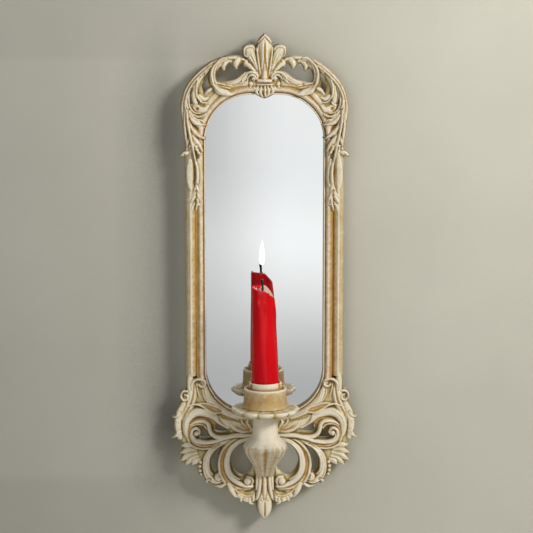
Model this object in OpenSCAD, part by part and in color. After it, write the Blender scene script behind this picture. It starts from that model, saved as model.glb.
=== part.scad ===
// Mirror-backed wall sconce for one taper candle: a round-cornered mirror in a moulded frame,
// a pierced leaf crest, a pierced scroll apron, and a bracket that carries a lobed drip pan and a socket.
// X runs to the right, Z up, and the front faces -Y. The origin is the hanging hole in the keyhole plate.

/* [Mirror] */
// Width of mirror seen between the rails
sight_w = 104; // [84:1:130]
// Height of mirror seen
sight_h = 285; // [230:1:345]
// Corner radius of the mirror seen
sight_r = 40; // [32:1:46]
// Thickness of the mirror glass
glass_t = 3; // [2:0.5:4]
// Thickness of the board behind the glass
board_t = 2.5; // [2:0.5:4]
// How far the glass runs under the frame's lip
rebate_w = 5; // [4:0.5:6]
// Room left around the edge of the glass
glass_gap = 0.5; // [0.3:0.1:0.8]

/* [Frame] */
// Width of the inner moulding, from the mirror outwards
surround_w = 8.5; // [7.5:0.5:10]
// Width of the rounded outer moulding on each side
stile_w = 9.2; // [8:0.2:11]
// Depth of the frame, from its back to the top of the outer moulding
frame_d = 16; // [14:0.1:20]
// Width of the flat core that the mouldings are glued to
core_w = 13; // [12:0.5:14]
// Open joint between neighbouring mouldings
joint_gap = 0.3; // [0.2:0.1:0.5]
// Height of the carved relief over the mouldings
relief_t = 3.5; // [2:0.5:5]

/* [Hanging] */
// Height of the hanging hole over the top of the mirror seen
hang_up = 20.3; // [20:0.1:21.3]
// Radius of the hole that the wall screw's head goes through
keyhole_r = 4.5; // [4:0.1:5]
// Width of the slot that its shank rides up into
keyhole_slot_w = 4.6; // [4:0.1:5]
// Thickness of the steel keyhole plate
plate_t = 1.2; // [1:0.1:1.6]
// Thickness of the felt pads that keep the frame off the wall
pad_t = 3; // [2.6:0.1:5]
// Radius of the felt pads
pad_r = 5; // [4:0.5:6]

/* [Turn buttons] */
// Length of each turn button past its screw
button_reach = 14; // [13:0.5:16]
// Width of each turn button
button_w = 8; // [7:0.5:10]
// Thickness of each turn button
button_t = 1; // [0.8:0.1:1.2]
// Radius of the plain shank that a button turns on
button_pivot_r = 1.6; // [1.4:0.1:2]
// Radial play of a button on its shank
button_play = 0.05; // [0.02:0.01:0.08]

/* [Bracket] */
// Distance from the frame's back to the candle's axis
reach = 47; // [42:1:60]
// Height of the drip pan's rim over the bottom of the mirror seen
pan_up = 17; // [12:1:24]
// Half width of the bracket's neck
neck_r = 10.7; // [9:0.1:12]
// Half width of the bracket's leaf bell
bell_r = 18; // [15:0.5:21]

/* [Candle socket] */
// How far the pan's lobes reach past the socket drum
pan_brim = 10.2; // [8:0.1:14]
// Number of lobes on the drip pan
pan_lobes = 12; // [8:1:14]
// Radius of the boss under the pan
boss_r = 15.5; // [14:0.5:18]
// Height of the boss under the pan
boss_h = 8; // [6:0.5:12]
// Thickness of the socket drum's wall
drum_wall = 4.1; // [3:0.1:6]
// Height of the socket drum over the pan's floor
drum_h = 14; // [12:0.5:16]
// Thickness of the brass liner's wall
liner_wall = 2.9; // [2:0.1:4]
// Height of the liner over the pan's floor
liner_h = 19.5; // [18:0.5:22]

/* [Candle] */
// Radius of the candle at its foot
candle_r = 11.1; // [9.5:0.1:13.5]
// Radius of the candle at its top
candle_top_r = 8.4; // [7:0.1:9.5]
// Length of the whole candle
candle_h = 98; // [60:1:200]
// Radial room around the candle in its liner
candle_gap = 0.4; // [0.3:0.05:0.8]
// Height that the wick stands over the wax
wick_up = 6; // [4:0.5:10]

/* [Hidden] */
$fn = 64;

// Frame places, measured from the middle of the mirror seen
half_w = sight_w / 2;
half_h = sight_h / 2;
rebate_d = glass_t + board_t;
rail_x = half_w + surround_w + joint_gap;
outer_x = rail_x + stile_w;
stile_end_z = half_h - sight_r - 2.5;
hang_z = half_h + hang_up;
carving_half_w = 70;
spread = outer_x / carving_half_w;
top_d = frame_d + relief_t;

// Tabs of the core that run out behind the crest and the apron
head_tab_w = 26;
head_tab_up = 41;
foot_tab_w = 17;
foot_tab_down = 60;

// Keyhole plate
plate_w = 15;
plate_down = 14.5;
plate_up = 17;
slot_up = 7.5;
head_room_w = 11;
head_room_d = 4;
small_screw_r = 1.5;
small_head_r = 2.7;
small_head_t = 0.8;
plate_screw_in = 3.6;

// Turn buttons and pads
button_air = 0.1;
button_z = 70;
pad_z = 96;
shank_len = 4;
thread_r = 1.1;
thread_play = 0.05;

// Bracket
arm_foot_z = -half_h - 57;
pan_z = -half_h + pan_up;
pan_rim_h = 3;
pan_floor_t = 1.5;
pan_floor_z = pan_z - pan_rim_h + pan_floor_t;
boss_z = pan_z - pan_rim_h - boss_h;
arm_top_z = boss_z;
arm_foot_r = 8;
bracket_screw_r = 1.8;
bracket_head_r = 3.4;
bracket_head_t = 2;
bracket_screw_in = 13;
bracket_screw_zs = [arm_foot_z + 10, arm_foot_z + 28];
drilled_play = 0.2;

// Socket and candle
liner_floor_t = 2;
drum_play = 0.1;
liner_bore_r = candle_r + candle_gap;
liner_r = liner_bore_r + liner_wall;
drum_bore_r = liner_r + drum_play;
drum_r = drum_bore_r + drum_wall;
pan_r = drum_r + pan_brim;
socket_head_t = 1.8;
socket_head_r = 3.6;
socket_screw_len = 26;
candle_foot_z = pan_floor_z + liner_floor_t + socket_head_t + 0.7;
wick_r = 0.8;
wick_in = 12;
wick_play = 0.05;
notch_w = 2.4;
notch_h = 3;

// Curves. A point is [x, up] and may carry a width as its third number.
function held(p, i) = p[max(0, min(len(p) - 1, i))];
function ring_at(p, i) = p[(i + len(p)) % len(p)];
function spline(a, b, c, d, t) =
    0.5 * (2 * b + (c - a) * t + (2 * a - 5 * b + 4 * c - d) * t * t + (3 * b - a - 3 * c + d) * t * t * t);
function open_curve(p, n) = [
    for (i = [0 : len(p) - 2], k = [0 : n - 1])
        spline(held(p, i - 1), p[i], p[i + 1], held(p, i + 2), k / n),
    p[len(p) - 1]
];
function closed_curve(p, n) = [
    for (i = [0 : len(p) - 1], k = [0 : n - 1])
        spline(ring_at(p, i - 1), p[i], ring_at(p, i + 1), ring_at(p, i + 2), k / n)
];
function side_step(c, i) =
    let (d = held(c, i + 1) - held(c, i - 1), l = norm([d.x, d.y]))
    [-d.y, d.x] / l * c[i][2] / 2;
function ribbon(p, n) =
    let (c = open_curve(p, n), m = len(c) - 1)
    concat([for (i = [0 : m]) [c[i].x, c[i].y] + side_step(c, i)],
           [for (i = [m : -1 : 0]) [c[i].x, c[i].y] - side_step(c, i)]);
function rounded_box(w, h, r) = [
    for (q = [0 : 3], k = [0 : 15])
        let (a = q * 90 + k * 6, sx = (q == 0 || q == 3) ? 1 : -1, sy = q < 2 ? 1 : -1)
        [sx * (w - r) + r * cos(a), sy * (h - r) + r * sin(a)]
];

// Carving outlines are drawn from the mirror's top or bottom edge, for rails at carving_half_w
function placed(pts, edge_z) = [
    for (p = pts) concat([p.x * spread, p.y + edge_z], len(p) == 3 ? [p[2]] : [])
];
function at_head(pts) = placed(pts, half_h);
function at_foot(pts) = placed(pts, -half_h);

module sight_outline(grow) {
    polygon(rounded_box(half_w + grow, half_h + grow, sight_r + grow));
}

// Face work is drawn lying down, front up, then stood against the wall
module stand() {
    translate([0, 0, -hang_z]) rotate([90, 0, 0]) children();
}

module slab(from_d, to_d) {
    translate([0, 0, from_d]) linear_extrude(to_d - from_d) children();
}

module strand(p, from_d, to_d) {
    slab(from_d, to_d) polygon(ribbon(p, 5));
}

module on_left() {
    mirror([1, 0, 0]) children();
}

// ---- Frame ----

module core_outline() {
    difference() {
        union() {
            sight_outline(core_w);
            translate([-outer_x + joint_gap, -stile_end_z])
                square([2 * (outer_x - joint_gap), 2 * stile_end_z]);
            translate([-head_tab_w / 2, half_h]) square([head_tab_w, head_tab_up]);
            translate([-foot_tab_w / 2, -half_h - foot_tab_down]) square([foot_tab_w, foot_tab_down]);
        }
        sight_outline(rebate_w + glass_gap);
    }
}

module keyhole_outline(hole_r, slot_w) {
    circle(hole_r);
    translate([-slot_w / 2, 0]) square([slot_w, slot_up]);
    translate([0, slot_up]) circle(slot_w / 2);
}

module plate_outline() {
    translate([-plate_w / 2, hang_z - plate_down]) square([plate_w, plate_down + plate_up]);
}

module plate_screw_places() {
    for (z = [hang_z - plate_down + plate_screw_in, hang_z + plate_up - plate_screw_in])
        translate([0, z, 0]) children();
}

module button_places() {
    for (sx = [-1, 1], sy = [-1, 1]) translate([sx * button_x(), sy * button_z, 0]) children();
}

function button_x() = half_w + rebate_w + glass_gap + (outer_x - half_w - rebate_w - glass_gap) / 2;

module frame_core() {
    color("tan") stand() difference() {
        slab(0, rebate_d) core_outline();
        slab(-1, plate_t) plate_outline();
        slab(-1, rebate_d + 1) head_room_outline();
        plate_screw_places()
            translate([0, 0, -1]) cylinder(r = small_screw_r + thread_play, h = rebate_d + 2);
        button_places()
            translate([0, 0, -1]) cylinder(r = thread_r + thread_play, h = shank_len + 1.2);
        for (z = bracket_screw_zs) translate([0, z, -1]) {
            cylinder(r = bracket_screw_r + drilled_play, h = rebate_d + 2);
            cylinder(r = bracket_head_r + drilled_play, h = bracket_head_t + 1);
        }
    }
}

// Room behind the keyhole plate for the wall screw's head
module head_room_outline() {
    translate([-head_room_w / 2, hang_z - head_room_w / 2]) square([head_room_w, head_room_w + slot_up]);
}

// Section of the inner moulding: x from its outer edge towards the mirror, y its height over the back
function surround_section() = concat(
    [[0, rebate_d], [0, frame_d - 3.4]],
    [for (a = [150 : -30 : 30]) [3.1 + 2.9 * cos(a), frame_d - 3.4 + 2.4 * sin(a)]],
    [[surround_w - 2.4, frame_d - 4.6]],
    [for (a = [150 : -40 : -10]) [surround_w - 1.1 + 1.1 * cos(a), frame_d - 4.2 + 1.1 * sin(a)]],
    [[surround_w, rebate_d]]
);

// Section of the outer moulding: x from its outer edge inwards, with a flat land for the carving
function stile_section() = concat(
    [[0, rebate_d]],
    [for (a = [180 : -18 : 90]) [3 + 3 * cos(a), frame_d - 4 + 4 * sin(a)]],
    [for (a = [90 : -18 : 0]) [stile_w - 2.4 + 2.4 * cos(a), frame_d - 3 + 3 * sin(a)]],
    [[stile_w, rebate_d]]
);

// One quarter of the inner moulding: half the rail, the corner and half the head
module surround_quarter() {
    r_out = sight_r + surround_w;
    cx = half_w - sight_r;
    cz = half_h - sight_r;
    section = [for (p = surround_section()) [r_out - p.x, p.y]];
    translate([cx, cz, 0]) rotate_extrude(angle = 90) polygon(section);
    translate([cx, cz, 0]) rotate([90, 0, 0]) linear_extrude(cz) polygon(section);
    translate([cx, cz, 0]) rotate([90, 0, -90]) linear_extrude(cx)
        polygon([for (p = section) [-p.x, p.y]]);
}

module surround_moulding() {
    color("ivory") stand() {
        surround_quarter();
        mirror([1, 0, 0]) surround_quarter();
        mirror([0, 1, 0]) surround_quarter();
        mirror([1, 0, 0]) mirror([0, 1, 0]) surround_quarter();
    }
}

module stile() {
    color("ivory") stand() translate([outer_x, stile_end_z, 0]) rotate([90, 0, 0])
        linear_extrude(2 * stile_end_z) polygon([for (p = stile_section()) [-p.x, p.y]]);
}

module right_stile_moulding() {
    stile();
}

module left_stile_moulding() {
    on_left() stile();
}

// ---- Crest ----

palmette_half_w = head_tab_w / 2 - joint_gap;

module petal(p) {
    strand(at_head(p), frame_d, top_d);
    strand(at_head([for (q = p) [-q.x, q.y, q[2]]]), frame_d, top_d);
}

module crest_palmette() {
    color("ivory") stand() difference() {
        union() {
            intersection() {
                slab(rebate_d, frame_d) difference() {
                    polygon(closed_curve(at_head([
                        [0, 52], [6, 44], [12, 40], [13, 25], [12, 6],
                        [-12, 6], [-13, 25], [-12, 40], [-6, 44]
                    ]), 4));
                    sight_outline(surround_w + joint_gap);
                }
                slab(0, top_d) translate([-palmette_half_w, 0])
                    square([2 * palmette_half_w, half_h + 60]);
            }
            strand(at_head([
                [0, 9, 9], [0, 22, 11], [0, 36, 14], [0, 46, 9], [0, 52, 1]
            ]), frame_d, top_d + 1);
            petal([[4, 12, 6], [8, 26, 8], [13, 36, 8], [17, 41, 5], [18, 44, 1]]);
            petal([[4, 10, 5], [11, 18, 8], [17, 24, 7], [20, 23, 3]]);
            slab(frame_d, top_d + 1.5) translate([-7 * spread, half_h + surround_w + joint_gap])
                square([14 * spread, 5]);
        }
        slab(0, rebate_d + head_room_d) head_room_outline();
    }
}

module crest_leaf() {
    color("ivory") stand() {
        slab(rebate_d, frame_d) difference() {
            intersection() {
                polygon(closed_curve(at_head([
                    [17, 33], [27, 35], [38.6, 33.2], [47.4, 28.3], [56.7, 22], [66, 14], [70.4, 5],
                    [73.1, -5.8], [74, -14], [72.5, -30], [69, -46], [58, -44], [54, -20], [47, -7],
                    [36, 2], [16, 4], [14.5, 10], [14.5, 24]
                ]), 3));
                translate([head_tab_w / 2, stile_end_z + joint_gap]) square([2 * outer_x, sight_h]);
            }
            sight_outline(surround_w + joint_gap);
            polygon(closed_curve(at_head([
                [20, 14.5], [29, 13.8], [37, 13.2], [40, 17], [36, 22], [29, 23.4], [22, 22], [18.5, 18]
            ]), 3));
            polygon(closed_curve(at_head([
                [48, 9], [51, 8.5], [56, 10], [54.5, 15], [50, 20], [47.5, 17]
            ]), 3));
        }
        strand(at_head([[71, -34, 2.5], [71.5, -14, 3.5], [68, 3, 3.5], [59, 15, 3.5],
                        [47, 25, 3.5], [36, 30, 3], [26, 31.5, 2.5]]), frame_d, top_d);
        strand(at_head([
            [67, -34, 2.5], [66.8, -14, 3], [64, 0, 3], [60, 6.5, 2], [56, 11, 1]
        ]), frame_d, top_d);
        strand(at_head([
            [26, 27.5, 2.5], [36, 26, 3], [43, 20.5, 3.5], [44, 12, 3.5], [40, 9, 3]
        ]), frame_d, top_d);
    }
}

module right_crest_leaf() {
    crest_leaf();
}

module left_crest_leaf() {
    on_left() crest_leaf();
}

module shoulder_leaf() {
    color("ivory") stand() slab(frame_d, top_d) intersection() {
        polygon(closed_curve(at_head([
            [62, -19], [56, -21], [53.2, -27], [55.5, -32.5], [53.2, -39], [56.5, -45.5], [56, -52],
            [61, -60], [66, -57], [76, -54.5], [71, -47], [66.5, -40], [65, -28]
        ]), 4));
        translate([half_w + joint_gap, 0]) square([outer_x, half_h]);
    }
    color("ivory") stand() slab(top_d, top_d + 1.2)
        polygon(ribbon(at_head([[60, -24, 5], [60, -34, 6], [61, -46, 5], [64, -56, 2]]), 5));
}

module right_shoulder_leaf() {
    difference() {
        shoulder_leaf();
        crest_leaf();
    }
}

module left_shoulder_leaf() {
    on_left() right_shoulder_leaf();
}

module rail_husk() {
    color("ivory") stand() slab(frame_d, top_d - 1) polygon(closed_curve(at_head([
        [64.5, -61.5], [62.4, -74], [61.6, -92], [62.5, -103],
        [64.6, -97], [67, -103], [67.5, -90], [67, -73]
    ]), 4));
}

module right_rail_husk() {
    rail_husk();
}

module left_rail_husk() {
    on_left() rail_husk();
}

// ---- Apron ----

module volute(p, r) {
    q = at_foot([p])[0];
    translate([q.x, q.y, frame_d]) cylinder(r = r, h = top_d + 1 - frame_d);
}

module apron_scroll() {
    color("ivory") stand() {
        slab(rebate_d, frame_d) difference() {
            intersection() {
                polygon(closed_curve(at_foot([
                    [58, 42], [66, 42], [71, 37], [70.5, 28], [74, 20], [77, 16], [75, 11], [76, 2],
                    [82, -4], [80, -12], [83, -22], [76, -23], [72, -31], [76, -40], [74, -48], [66, -45],
                    [60.5, -48], [59, -57], [52, -62], [43, -67], [33, -67], [29, -75], [22, -80],
                    [14, -84], [8.9, -82], [8.7, -62], [8.7, -16], [20, -6], [36, 0], [50, 12], [56, 28]
                ]), 3));
                translate([foot_tab_w / 2 + joint_gap, -half_h - 100])
                    square([2 * outer_x, 100 + half_h - stile_end_z - joint_gap]);
            }
            sight_outline(surround_w + joint_gap);
            polygon(closed_curve(at_foot([
                [50, -13.5], [59, -14], [59.5, -19], [58, -23.5], [47.5, -23], [48, -18.5]
            ]), 3));
            polygon(closed_curve(at_foot([
                [45, -11.5], [40, -15], [32.5, -17.5], [38, -18], [43, -17.5]
            ]), 3));
            polygon(closed_curve(at_foot([
                [32, -27.5], [40, -33], [45, -41], [46.5, -48], [45, -53], [42, -50], [41, -42], [37, -34]
            ]), 3));
            polygon(closed_curve(at_foot([
                [20, -26], [26, -33], [29.5, -42], [28, -51], [21, -57.5], [17.5, -59], [12, -54],
                [11, -40], [16, -31]
            ]), 3));
            polygon(closed_curve(at_foot([[19, -69.5], [13.5, -71.5], [8.9, -67.5], [12.5, -68]]), 3));
        }
        difference() {
            apron_relief();
            slab(frame_d - 1, top_d + 2) translate([0, arm_foot_z])
                square([bell_r + joint_gap, -half_h - arm_foot_z]);
        }
    }
}

module apron_relief() {
    strand(at_foot([[72, -1, 2], [66, 6, 3], [56, 9.5, 3], [47, 5, 3.5], [40, -1, 2]]), frame_d, top_d);
    strand(at_foot([
        [62, -16, 2], [69, -13, 3.5], [71, -22, 4], [63, -30, 4], [48, -29, 4], [30, -23, 3], [14, -21, 3]
    ]), frame_d, top_d);
    strand(at_foot([
        [24, -25, 3], [37, -32, 3.5], [51, -42, 3.5], [53, -54, 3.5], [46, -63, 3.5], [38, -61, 3]
    ]), frame_d, top_d);
    strand(at_foot([
        [16, -25, 2.5], [29, -34, 4], [34, -44, 4], [31, -56, 4], [22, -64, 4], [12.5, -65, 3]
    ]), frame_d, top_d);
    volute([72.5, 16.5], 3);
    volute([60.5, -19], 2.6);
    volute([41.2, -58.6], 4);
    volute([13.4, -61.5], 3.4);
}

module right_apron_scroll() {
    apron_scroll();
}

module left_apron_scroll() {
    on_left() apron_scroll();
}

module apron_pendant() {
    color("ivory") stand() difference() {
        union() {
            slab(rebate_d, frame_d) difference() {
                translate([-foot_tab_w / 2, -half_h - foot_tab_down - 15])
                    square([foot_tab_w, foot_tab_down + 15]);
                sight_outline(surround_w + joint_gap);
            }
            slab(rebate_d, frame_d) polygon(closed_curve([
                for (p = [
                    [7.5, -72], [6.5, -84], [4.5, -92], [0, -96], [-4.5, -92], [-6.5, -84], [-7.5, -72]
                ]) [p.x, p.y - half_h]
            ], 3));
            slab(frame_d, top_d) polygon(ribbon([
                for (p = [[0, -60, 6], [0, -74, 7], [0, -84, 11], [0, -90, 8], [0, -95, 1]])
                    [p.x, p.y - half_h, p[2]]
            ], 5));
        }
        for (z = bracket_screw_zs)
            translate([0, z, 0]) cylinder(r = bracket_screw_r + drilled_play, h = frame_d + 1);
    }
}

// ---- Mirror and back ----

module mirror_glass() {
    color("lightsteelblue") stand() slab(board_t, rebate_d) sight_outline(rebate_w);
}

module backing_board() {
    color("saddlebrown") stand() slab(0, board_t) sight_outline(rebate_w);
}

// A turn button lies across the edge of the backing board and swings clear of it
module turn_button(sx, sy) {
    color("goldenrod") stand() translate([sx * button_x(), sy * button_z, 0])
        slab(-button_air - button_t, -button_air) difference() {
            union() {
                circle(button_w / 2);
                translate([sx > 0 ? -button_reach + button_w / 2 : 0, -button_w / 2])
                    square([button_reach - button_w / 2, button_w]);
                translate([-sx * (button_reach - button_w / 2), 0]) circle(button_w / 2);
            }
            circle(button_pivot_r + button_play);
        }
}

module upper_left_turn_button() {
    turn_button(-1, 1);
}

module upper_right_turn_button() {
    turn_button(1, 1);
}

module lower_left_turn_button() {
    turn_button(-1, -1);
}

module lower_right_turn_button() {
    turn_button(1, -1);
}

module turn_button_screws() {
    shoulder_h = button_t + 2 * button_air;
    color("goldenrod") stand() button_places() difference() {
        union() {
            cylinder(r = thread_r, h = shank_len);
            translate([0, 0, -shoulder_h]) cylinder(r = button_pivot_r, h = shoulder_h);
            translate([0, 0, -shoulder_h - small_head_t]) cylinder(r = small_head_r, h = small_head_t);
        }
        screw_slot(small_head_r, shoulder_h + small_head_t);
    }
}

module screw_slot(head_r, back_d) {
    translate([-head_r, -0.4, -back_d - 1]) cube([2 * head_r, 0.8, 1.4]);
}

module keyhole_plate() {
    color("silver") stand() slab(0, plate_t) difference() {
        plate_outline();
        translate([0, hang_z]) keyhole_outline(keyhole_r, keyhole_slot_w);
        plate_screw_places() circle(small_screw_r + thread_play);
    }
}

module keyhole_plate_screws() {
    color("silver") stand() plate_screw_places() difference() {
        union() {
            cylinder(r = small_screw_r, h = rebate_d - joint_gap);
            translate([0, 0, -small_head_t]) cylinder(r = small_head_r, h = small_head_t);
        }
        screw_slot(small_head_r, small_head_t);
    }
}

module wall_pads() {
    color("darkolivegreen") stand() for (sx = [-1, 1], sy = [-1, 1])
        translate([sx * button_x(), sy * pad_z, -pad_t]) cylinder(r = pad_r, h = pad_t);
}

// ---- Bracket ----

// s runs from the apron's face to the candle's axis, t from the bracket's foot to its top
function arm_point(s, necks, t) = [
    frame_d + s * (reach - frame_d) + necks * neck_r,
    arm_foot_z + t * (arm_top_z - arm_foot_z)
];

module bracket_arm() {
    side = concat(
        open_curve([
            arm_point(0, 0, 0), arm_point(0.1, 0, 0.01), arm_point(0.35, 0, 0.09), arm_point(0.68, 0, 0.22),
            arm_point(1, 0, 0.38), arm_point(1, 0.85, 0.53), arm_point(1, 1.25, 0.66),
            arm_point(1, 1.1, 0.8), arm_point(1, 1, 1)
        ], 4),
        open_curve([
            arm_point(1, -1, 1), arm_point(1, -1.1, 0.86), arm_point(0.62, -0.4, 0.72),
            arm_point(0.25, 0, 0.6), arm_point(0, 0, 0.52)
        ], 4)
    );
    edge = open_curve([
        [arm_foot_r - 1, 0], [arm_foot_r, 0.12], [arm_foot_r + 0.5, 0.24], [bell_r * 0.64, 0.34],
        [bell_r * 0.85, 0.43], [bell_r, 0.53], [bell_r, 0.63], [(bell_r + neck_r) / 2, 0.71],
        [neck_r, 0.8], [neck_r, 1]
    ], 4);
    face = [for (p = edge) [p.x, arm_point(0, 0, p.y).y]];
    mirrored = [for (i = [len(face) - 1 : -1 : 0]) [-face[i].x, face[i].y]];
    color("ivory") stand() difference() {
        intersection() {
            slab(0, reach + 2 * neck_r) polygon(concat(face, mirrored));
            translate([-bell_r - 1, 0, 0]) rotate([0, 90, 0]) linear_extrude(2 * bell_r + 2)
                polygon([for (p = side) [-p.x, p.y]]);
        }
        for (z = bracket_screw_zs) translate([0, z, 0])
            cylinder(r = bracket_screw_r + thread_play, h = frame_d + bracket_screw_in + 1);
        socket_screw_hole(bracket_screw_r + thread_play);
    }
}

module bracket_screws() {
    color("silver") stand() for (z = bracket_screw_zs) translate([0, z, 0]) difference() {
        union() {
            cylinder(r = bracket_head_r, h = bracket_head_t);
            cylinder(r = bracket_screw_r, h = frame_d + bracket_screw_in);
        }
        translate([-bracket_head_r, -0.5, -1]) cube([2 * bracket_head_r, 1, 1.8]);
    }
}

module socket_screw_hole(r) {
    translate([0, pan_floor_z + liner_floor_t + 1, reach]) rotate([90, 0, 0])
        cylinder(r = r, h = socket_screw_len + 2);
}

// ---- Socket, turned about the candle's axis ----

module at_candle(z) {
    translate([0, -reach, z - hang_z]) children();
}

module lobed_outline(r) {
    lobe_r = r * sin(180 / pan_lobes) * 1.03;
    circle(r - lobe_r * 0.6);
    for (i = [0 : pan_lobes - 1])
        rotate(i * 360 / pan_lobes + 90) translate([r - lobe_r, 0]) circle(lobe_r);
}

module drip_pan() {
    color("ivory") at_candle(0) difference() {
        union() {
            translate([0, 0, pan_z - pan_rim_h]) linear_extrude(pan_rim_h) lobed_outline(pan_r);
            translate([0, 0, boss_z]) cylinder(r1 = boss_r - 2, r2 = boss_r, h = boss_h);
        }
        translate([0, 0, pan_floor_z]) cylinder(r = pan_r - 5.5, h = pan_rim_h);
        translate([0, 0, boss_z - 1])
            cylinder(r = bracket_screw_r + drilled_play, h = boss_h + pan_rim_h + 2);
    }
}

module socket_drum() {
    color("ivory") at_candle(pan_floor_z) rotate_extrude() polygon([
        [drum_bore_r, 0], [drum_r + 2, 0], [drum_r + 1.4, 0.8], [drum_r + 0.5, 1.8], [drum_r, 3.2],
        [drum_r, drum_h - 2.4], [drum_r + 0.5, drum_h - 1.6], [drum_r + 0.5, drum_h - 0.7],
        [drum_r - 0.3, drum_h], [drum_bore_r, drum_h]
    ]);
}

module socket_liner() {
    color("darkkhaki") at_candle(pan_floor_z) difference() {
        rotate_extrude() polygon([
            [bracket_screw_r + drilled_play, 0], [liner_r, 0],
            [liner_r, liner_h - 0.8], [liner_r - 0.8, liner_h],
            [liner_bore_r + 0.4, liner_h], [liner_bore_r, liner_h - 0.4], [liner_bore_r, liner_floor_t],
            [bracket_screw_r + drilled_play, liner_floor_t]
        ]);
        for (a = [30, 150, 210, 330]) rotate(a)
            translate([liner_bore_r - 1, -notch_w / 2, liner_h - notch_h])
                cube([liner_r, notch_w, notch_h + 1]);
    }
}

module socket_screw() {
    color("silver") at_candle(pan_floor_z + liner_floor_t) difference() {
        union() {
            cylinder(r = socket_head_r, h = socket_head_t);
            translate([0, 0, -socket_screw_len]) cylinder(r = bracket_screw_r, h = socket_screw_len);
        }
        translate([-socket_head_r, -0.5, socket_head_t - 1]) cube([2 * socket_head_r, 1, 2]);
    }
}

// ---- Candle ----

module candle() {
    color("red") at_candle(candle_foot_z) difference() {
        cylinder(r1 = candle_r, r2 = candle_top_r, h = candle_h);
        translate([0, 0, candle_h - wick_in]) cylinder(r = wick_r + wick_play, h = wick_in + 1);
    }
}

module candle_wick() {
    color("black") at_candle(candle_foot_z + candle_h - wick_in) cylinder(r = wick_r, h = wick_in + wick_up);
}

frame_core();
surround_moulding();
left_stile_moulding();
right_stile_moulding();
crest_palmette();
left_crest_leaf();
right_crest_leaf();
left_shoulder_leaf();
right_shoulder_leaf();
left_rail_husk();
right_rail_husk();
left_apron_scroll();
right_apron_scroll();
apron_pendant();
mirror_glass();
backing_board();
upper_left_turn_button();
upper_right_turn_button();
lower_left_turn_button();
lower_right_turn_button();
turn_button_screws();
keyhole_plate();
keyhole_plate_screws();
wall_pads();
bracket_arm();
bracket_screws();
drip_pan();
socket_drum();
socket_liner();
socket_screw();
candle();
candle_wick();
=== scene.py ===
import bpy
import math
import numpy as np
from functools import partialmethod
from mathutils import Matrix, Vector


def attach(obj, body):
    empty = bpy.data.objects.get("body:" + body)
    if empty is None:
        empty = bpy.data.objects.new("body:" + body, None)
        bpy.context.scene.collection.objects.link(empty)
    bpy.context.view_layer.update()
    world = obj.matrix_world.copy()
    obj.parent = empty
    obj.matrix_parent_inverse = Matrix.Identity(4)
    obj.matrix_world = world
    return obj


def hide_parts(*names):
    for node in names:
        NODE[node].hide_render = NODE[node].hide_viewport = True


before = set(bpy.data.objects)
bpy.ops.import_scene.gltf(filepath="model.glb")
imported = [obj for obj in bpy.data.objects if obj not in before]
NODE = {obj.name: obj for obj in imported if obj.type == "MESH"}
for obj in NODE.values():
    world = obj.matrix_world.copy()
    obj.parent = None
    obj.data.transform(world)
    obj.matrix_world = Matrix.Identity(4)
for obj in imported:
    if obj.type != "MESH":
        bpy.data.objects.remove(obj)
SCENE = bpy.context.scene
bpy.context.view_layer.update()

MM = 0.001
MIRROR_Z = -162.8                 # middle of the mirror, mm, in the row frame
MIRROR_HALF_H = 142.5
CORNER_R = 40.0                   # of the mirror's rounded opening
FLAT_HALF_W = 12.0                # half of its flat top, between the corners
HEAD_Z = MIRROR_Z + MIRROR_HALF_H  # top edge of the mirror seen
FOOT_Z = MIRROR_Z - MIRROR_HALF_H  # bottom edge of the mirror seen
BACK = 5.5                        # depth of the core's face, where the carvings are glued
AXIS_Y = -47.0                    # the candle's axis

# ---- Camera ----

CAMERA_DISTANCE = 1.85
aim = Vector((0.0017, -0.012, -0.1724))
tilt = math.radians(9.2)
turn = math.radians(-1.1)
cam_data = bpy.data.cameras.new("camera")
cam_data.lens = 141.2
cam_data.sensor_width = 36
cam_data.clip_start = 0.1
cam_data.clip_end = 50
camera = bpy.data.objects.new("camera", cam_data)
SCENE.collection.objects.link(camera)
away = Vector((math.sin(turn) * math.cos(tilt), -math.cos(turn) * math.cos(tilt), math.sin(tilt)))
camera.location = aim + CAMERA_DISTANCE * away
camera.rotation_mode = "QUATERNION"
camera.rotation_quaternion = (aim - camera.location).to_track_quat("-Z", "Y")
SCENE.camera = camera


# ---- Materials ----

def linear(r, g, b):
    return tuple(((c / 255 + 0.055) / 1.055) ** 2.4 if c > 10 else c / 3294.6 for c in (r, g, b)) + (1.0,)


def add_node(tree, kind, sockets, **settings):
    """A node with its settings made and its sockets linked or set."""
    n = tree.nodes.new(kind)
    for key, value in settings.items():
        setattr(n, key, value)
    for key, value in sockets.items():
        if isinstance(value, bpy.types.NodeSocket):
            tree.links.new(value, n.inputs[key])
        else:
            n.inputs[key].default_value = value
    return n


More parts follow.
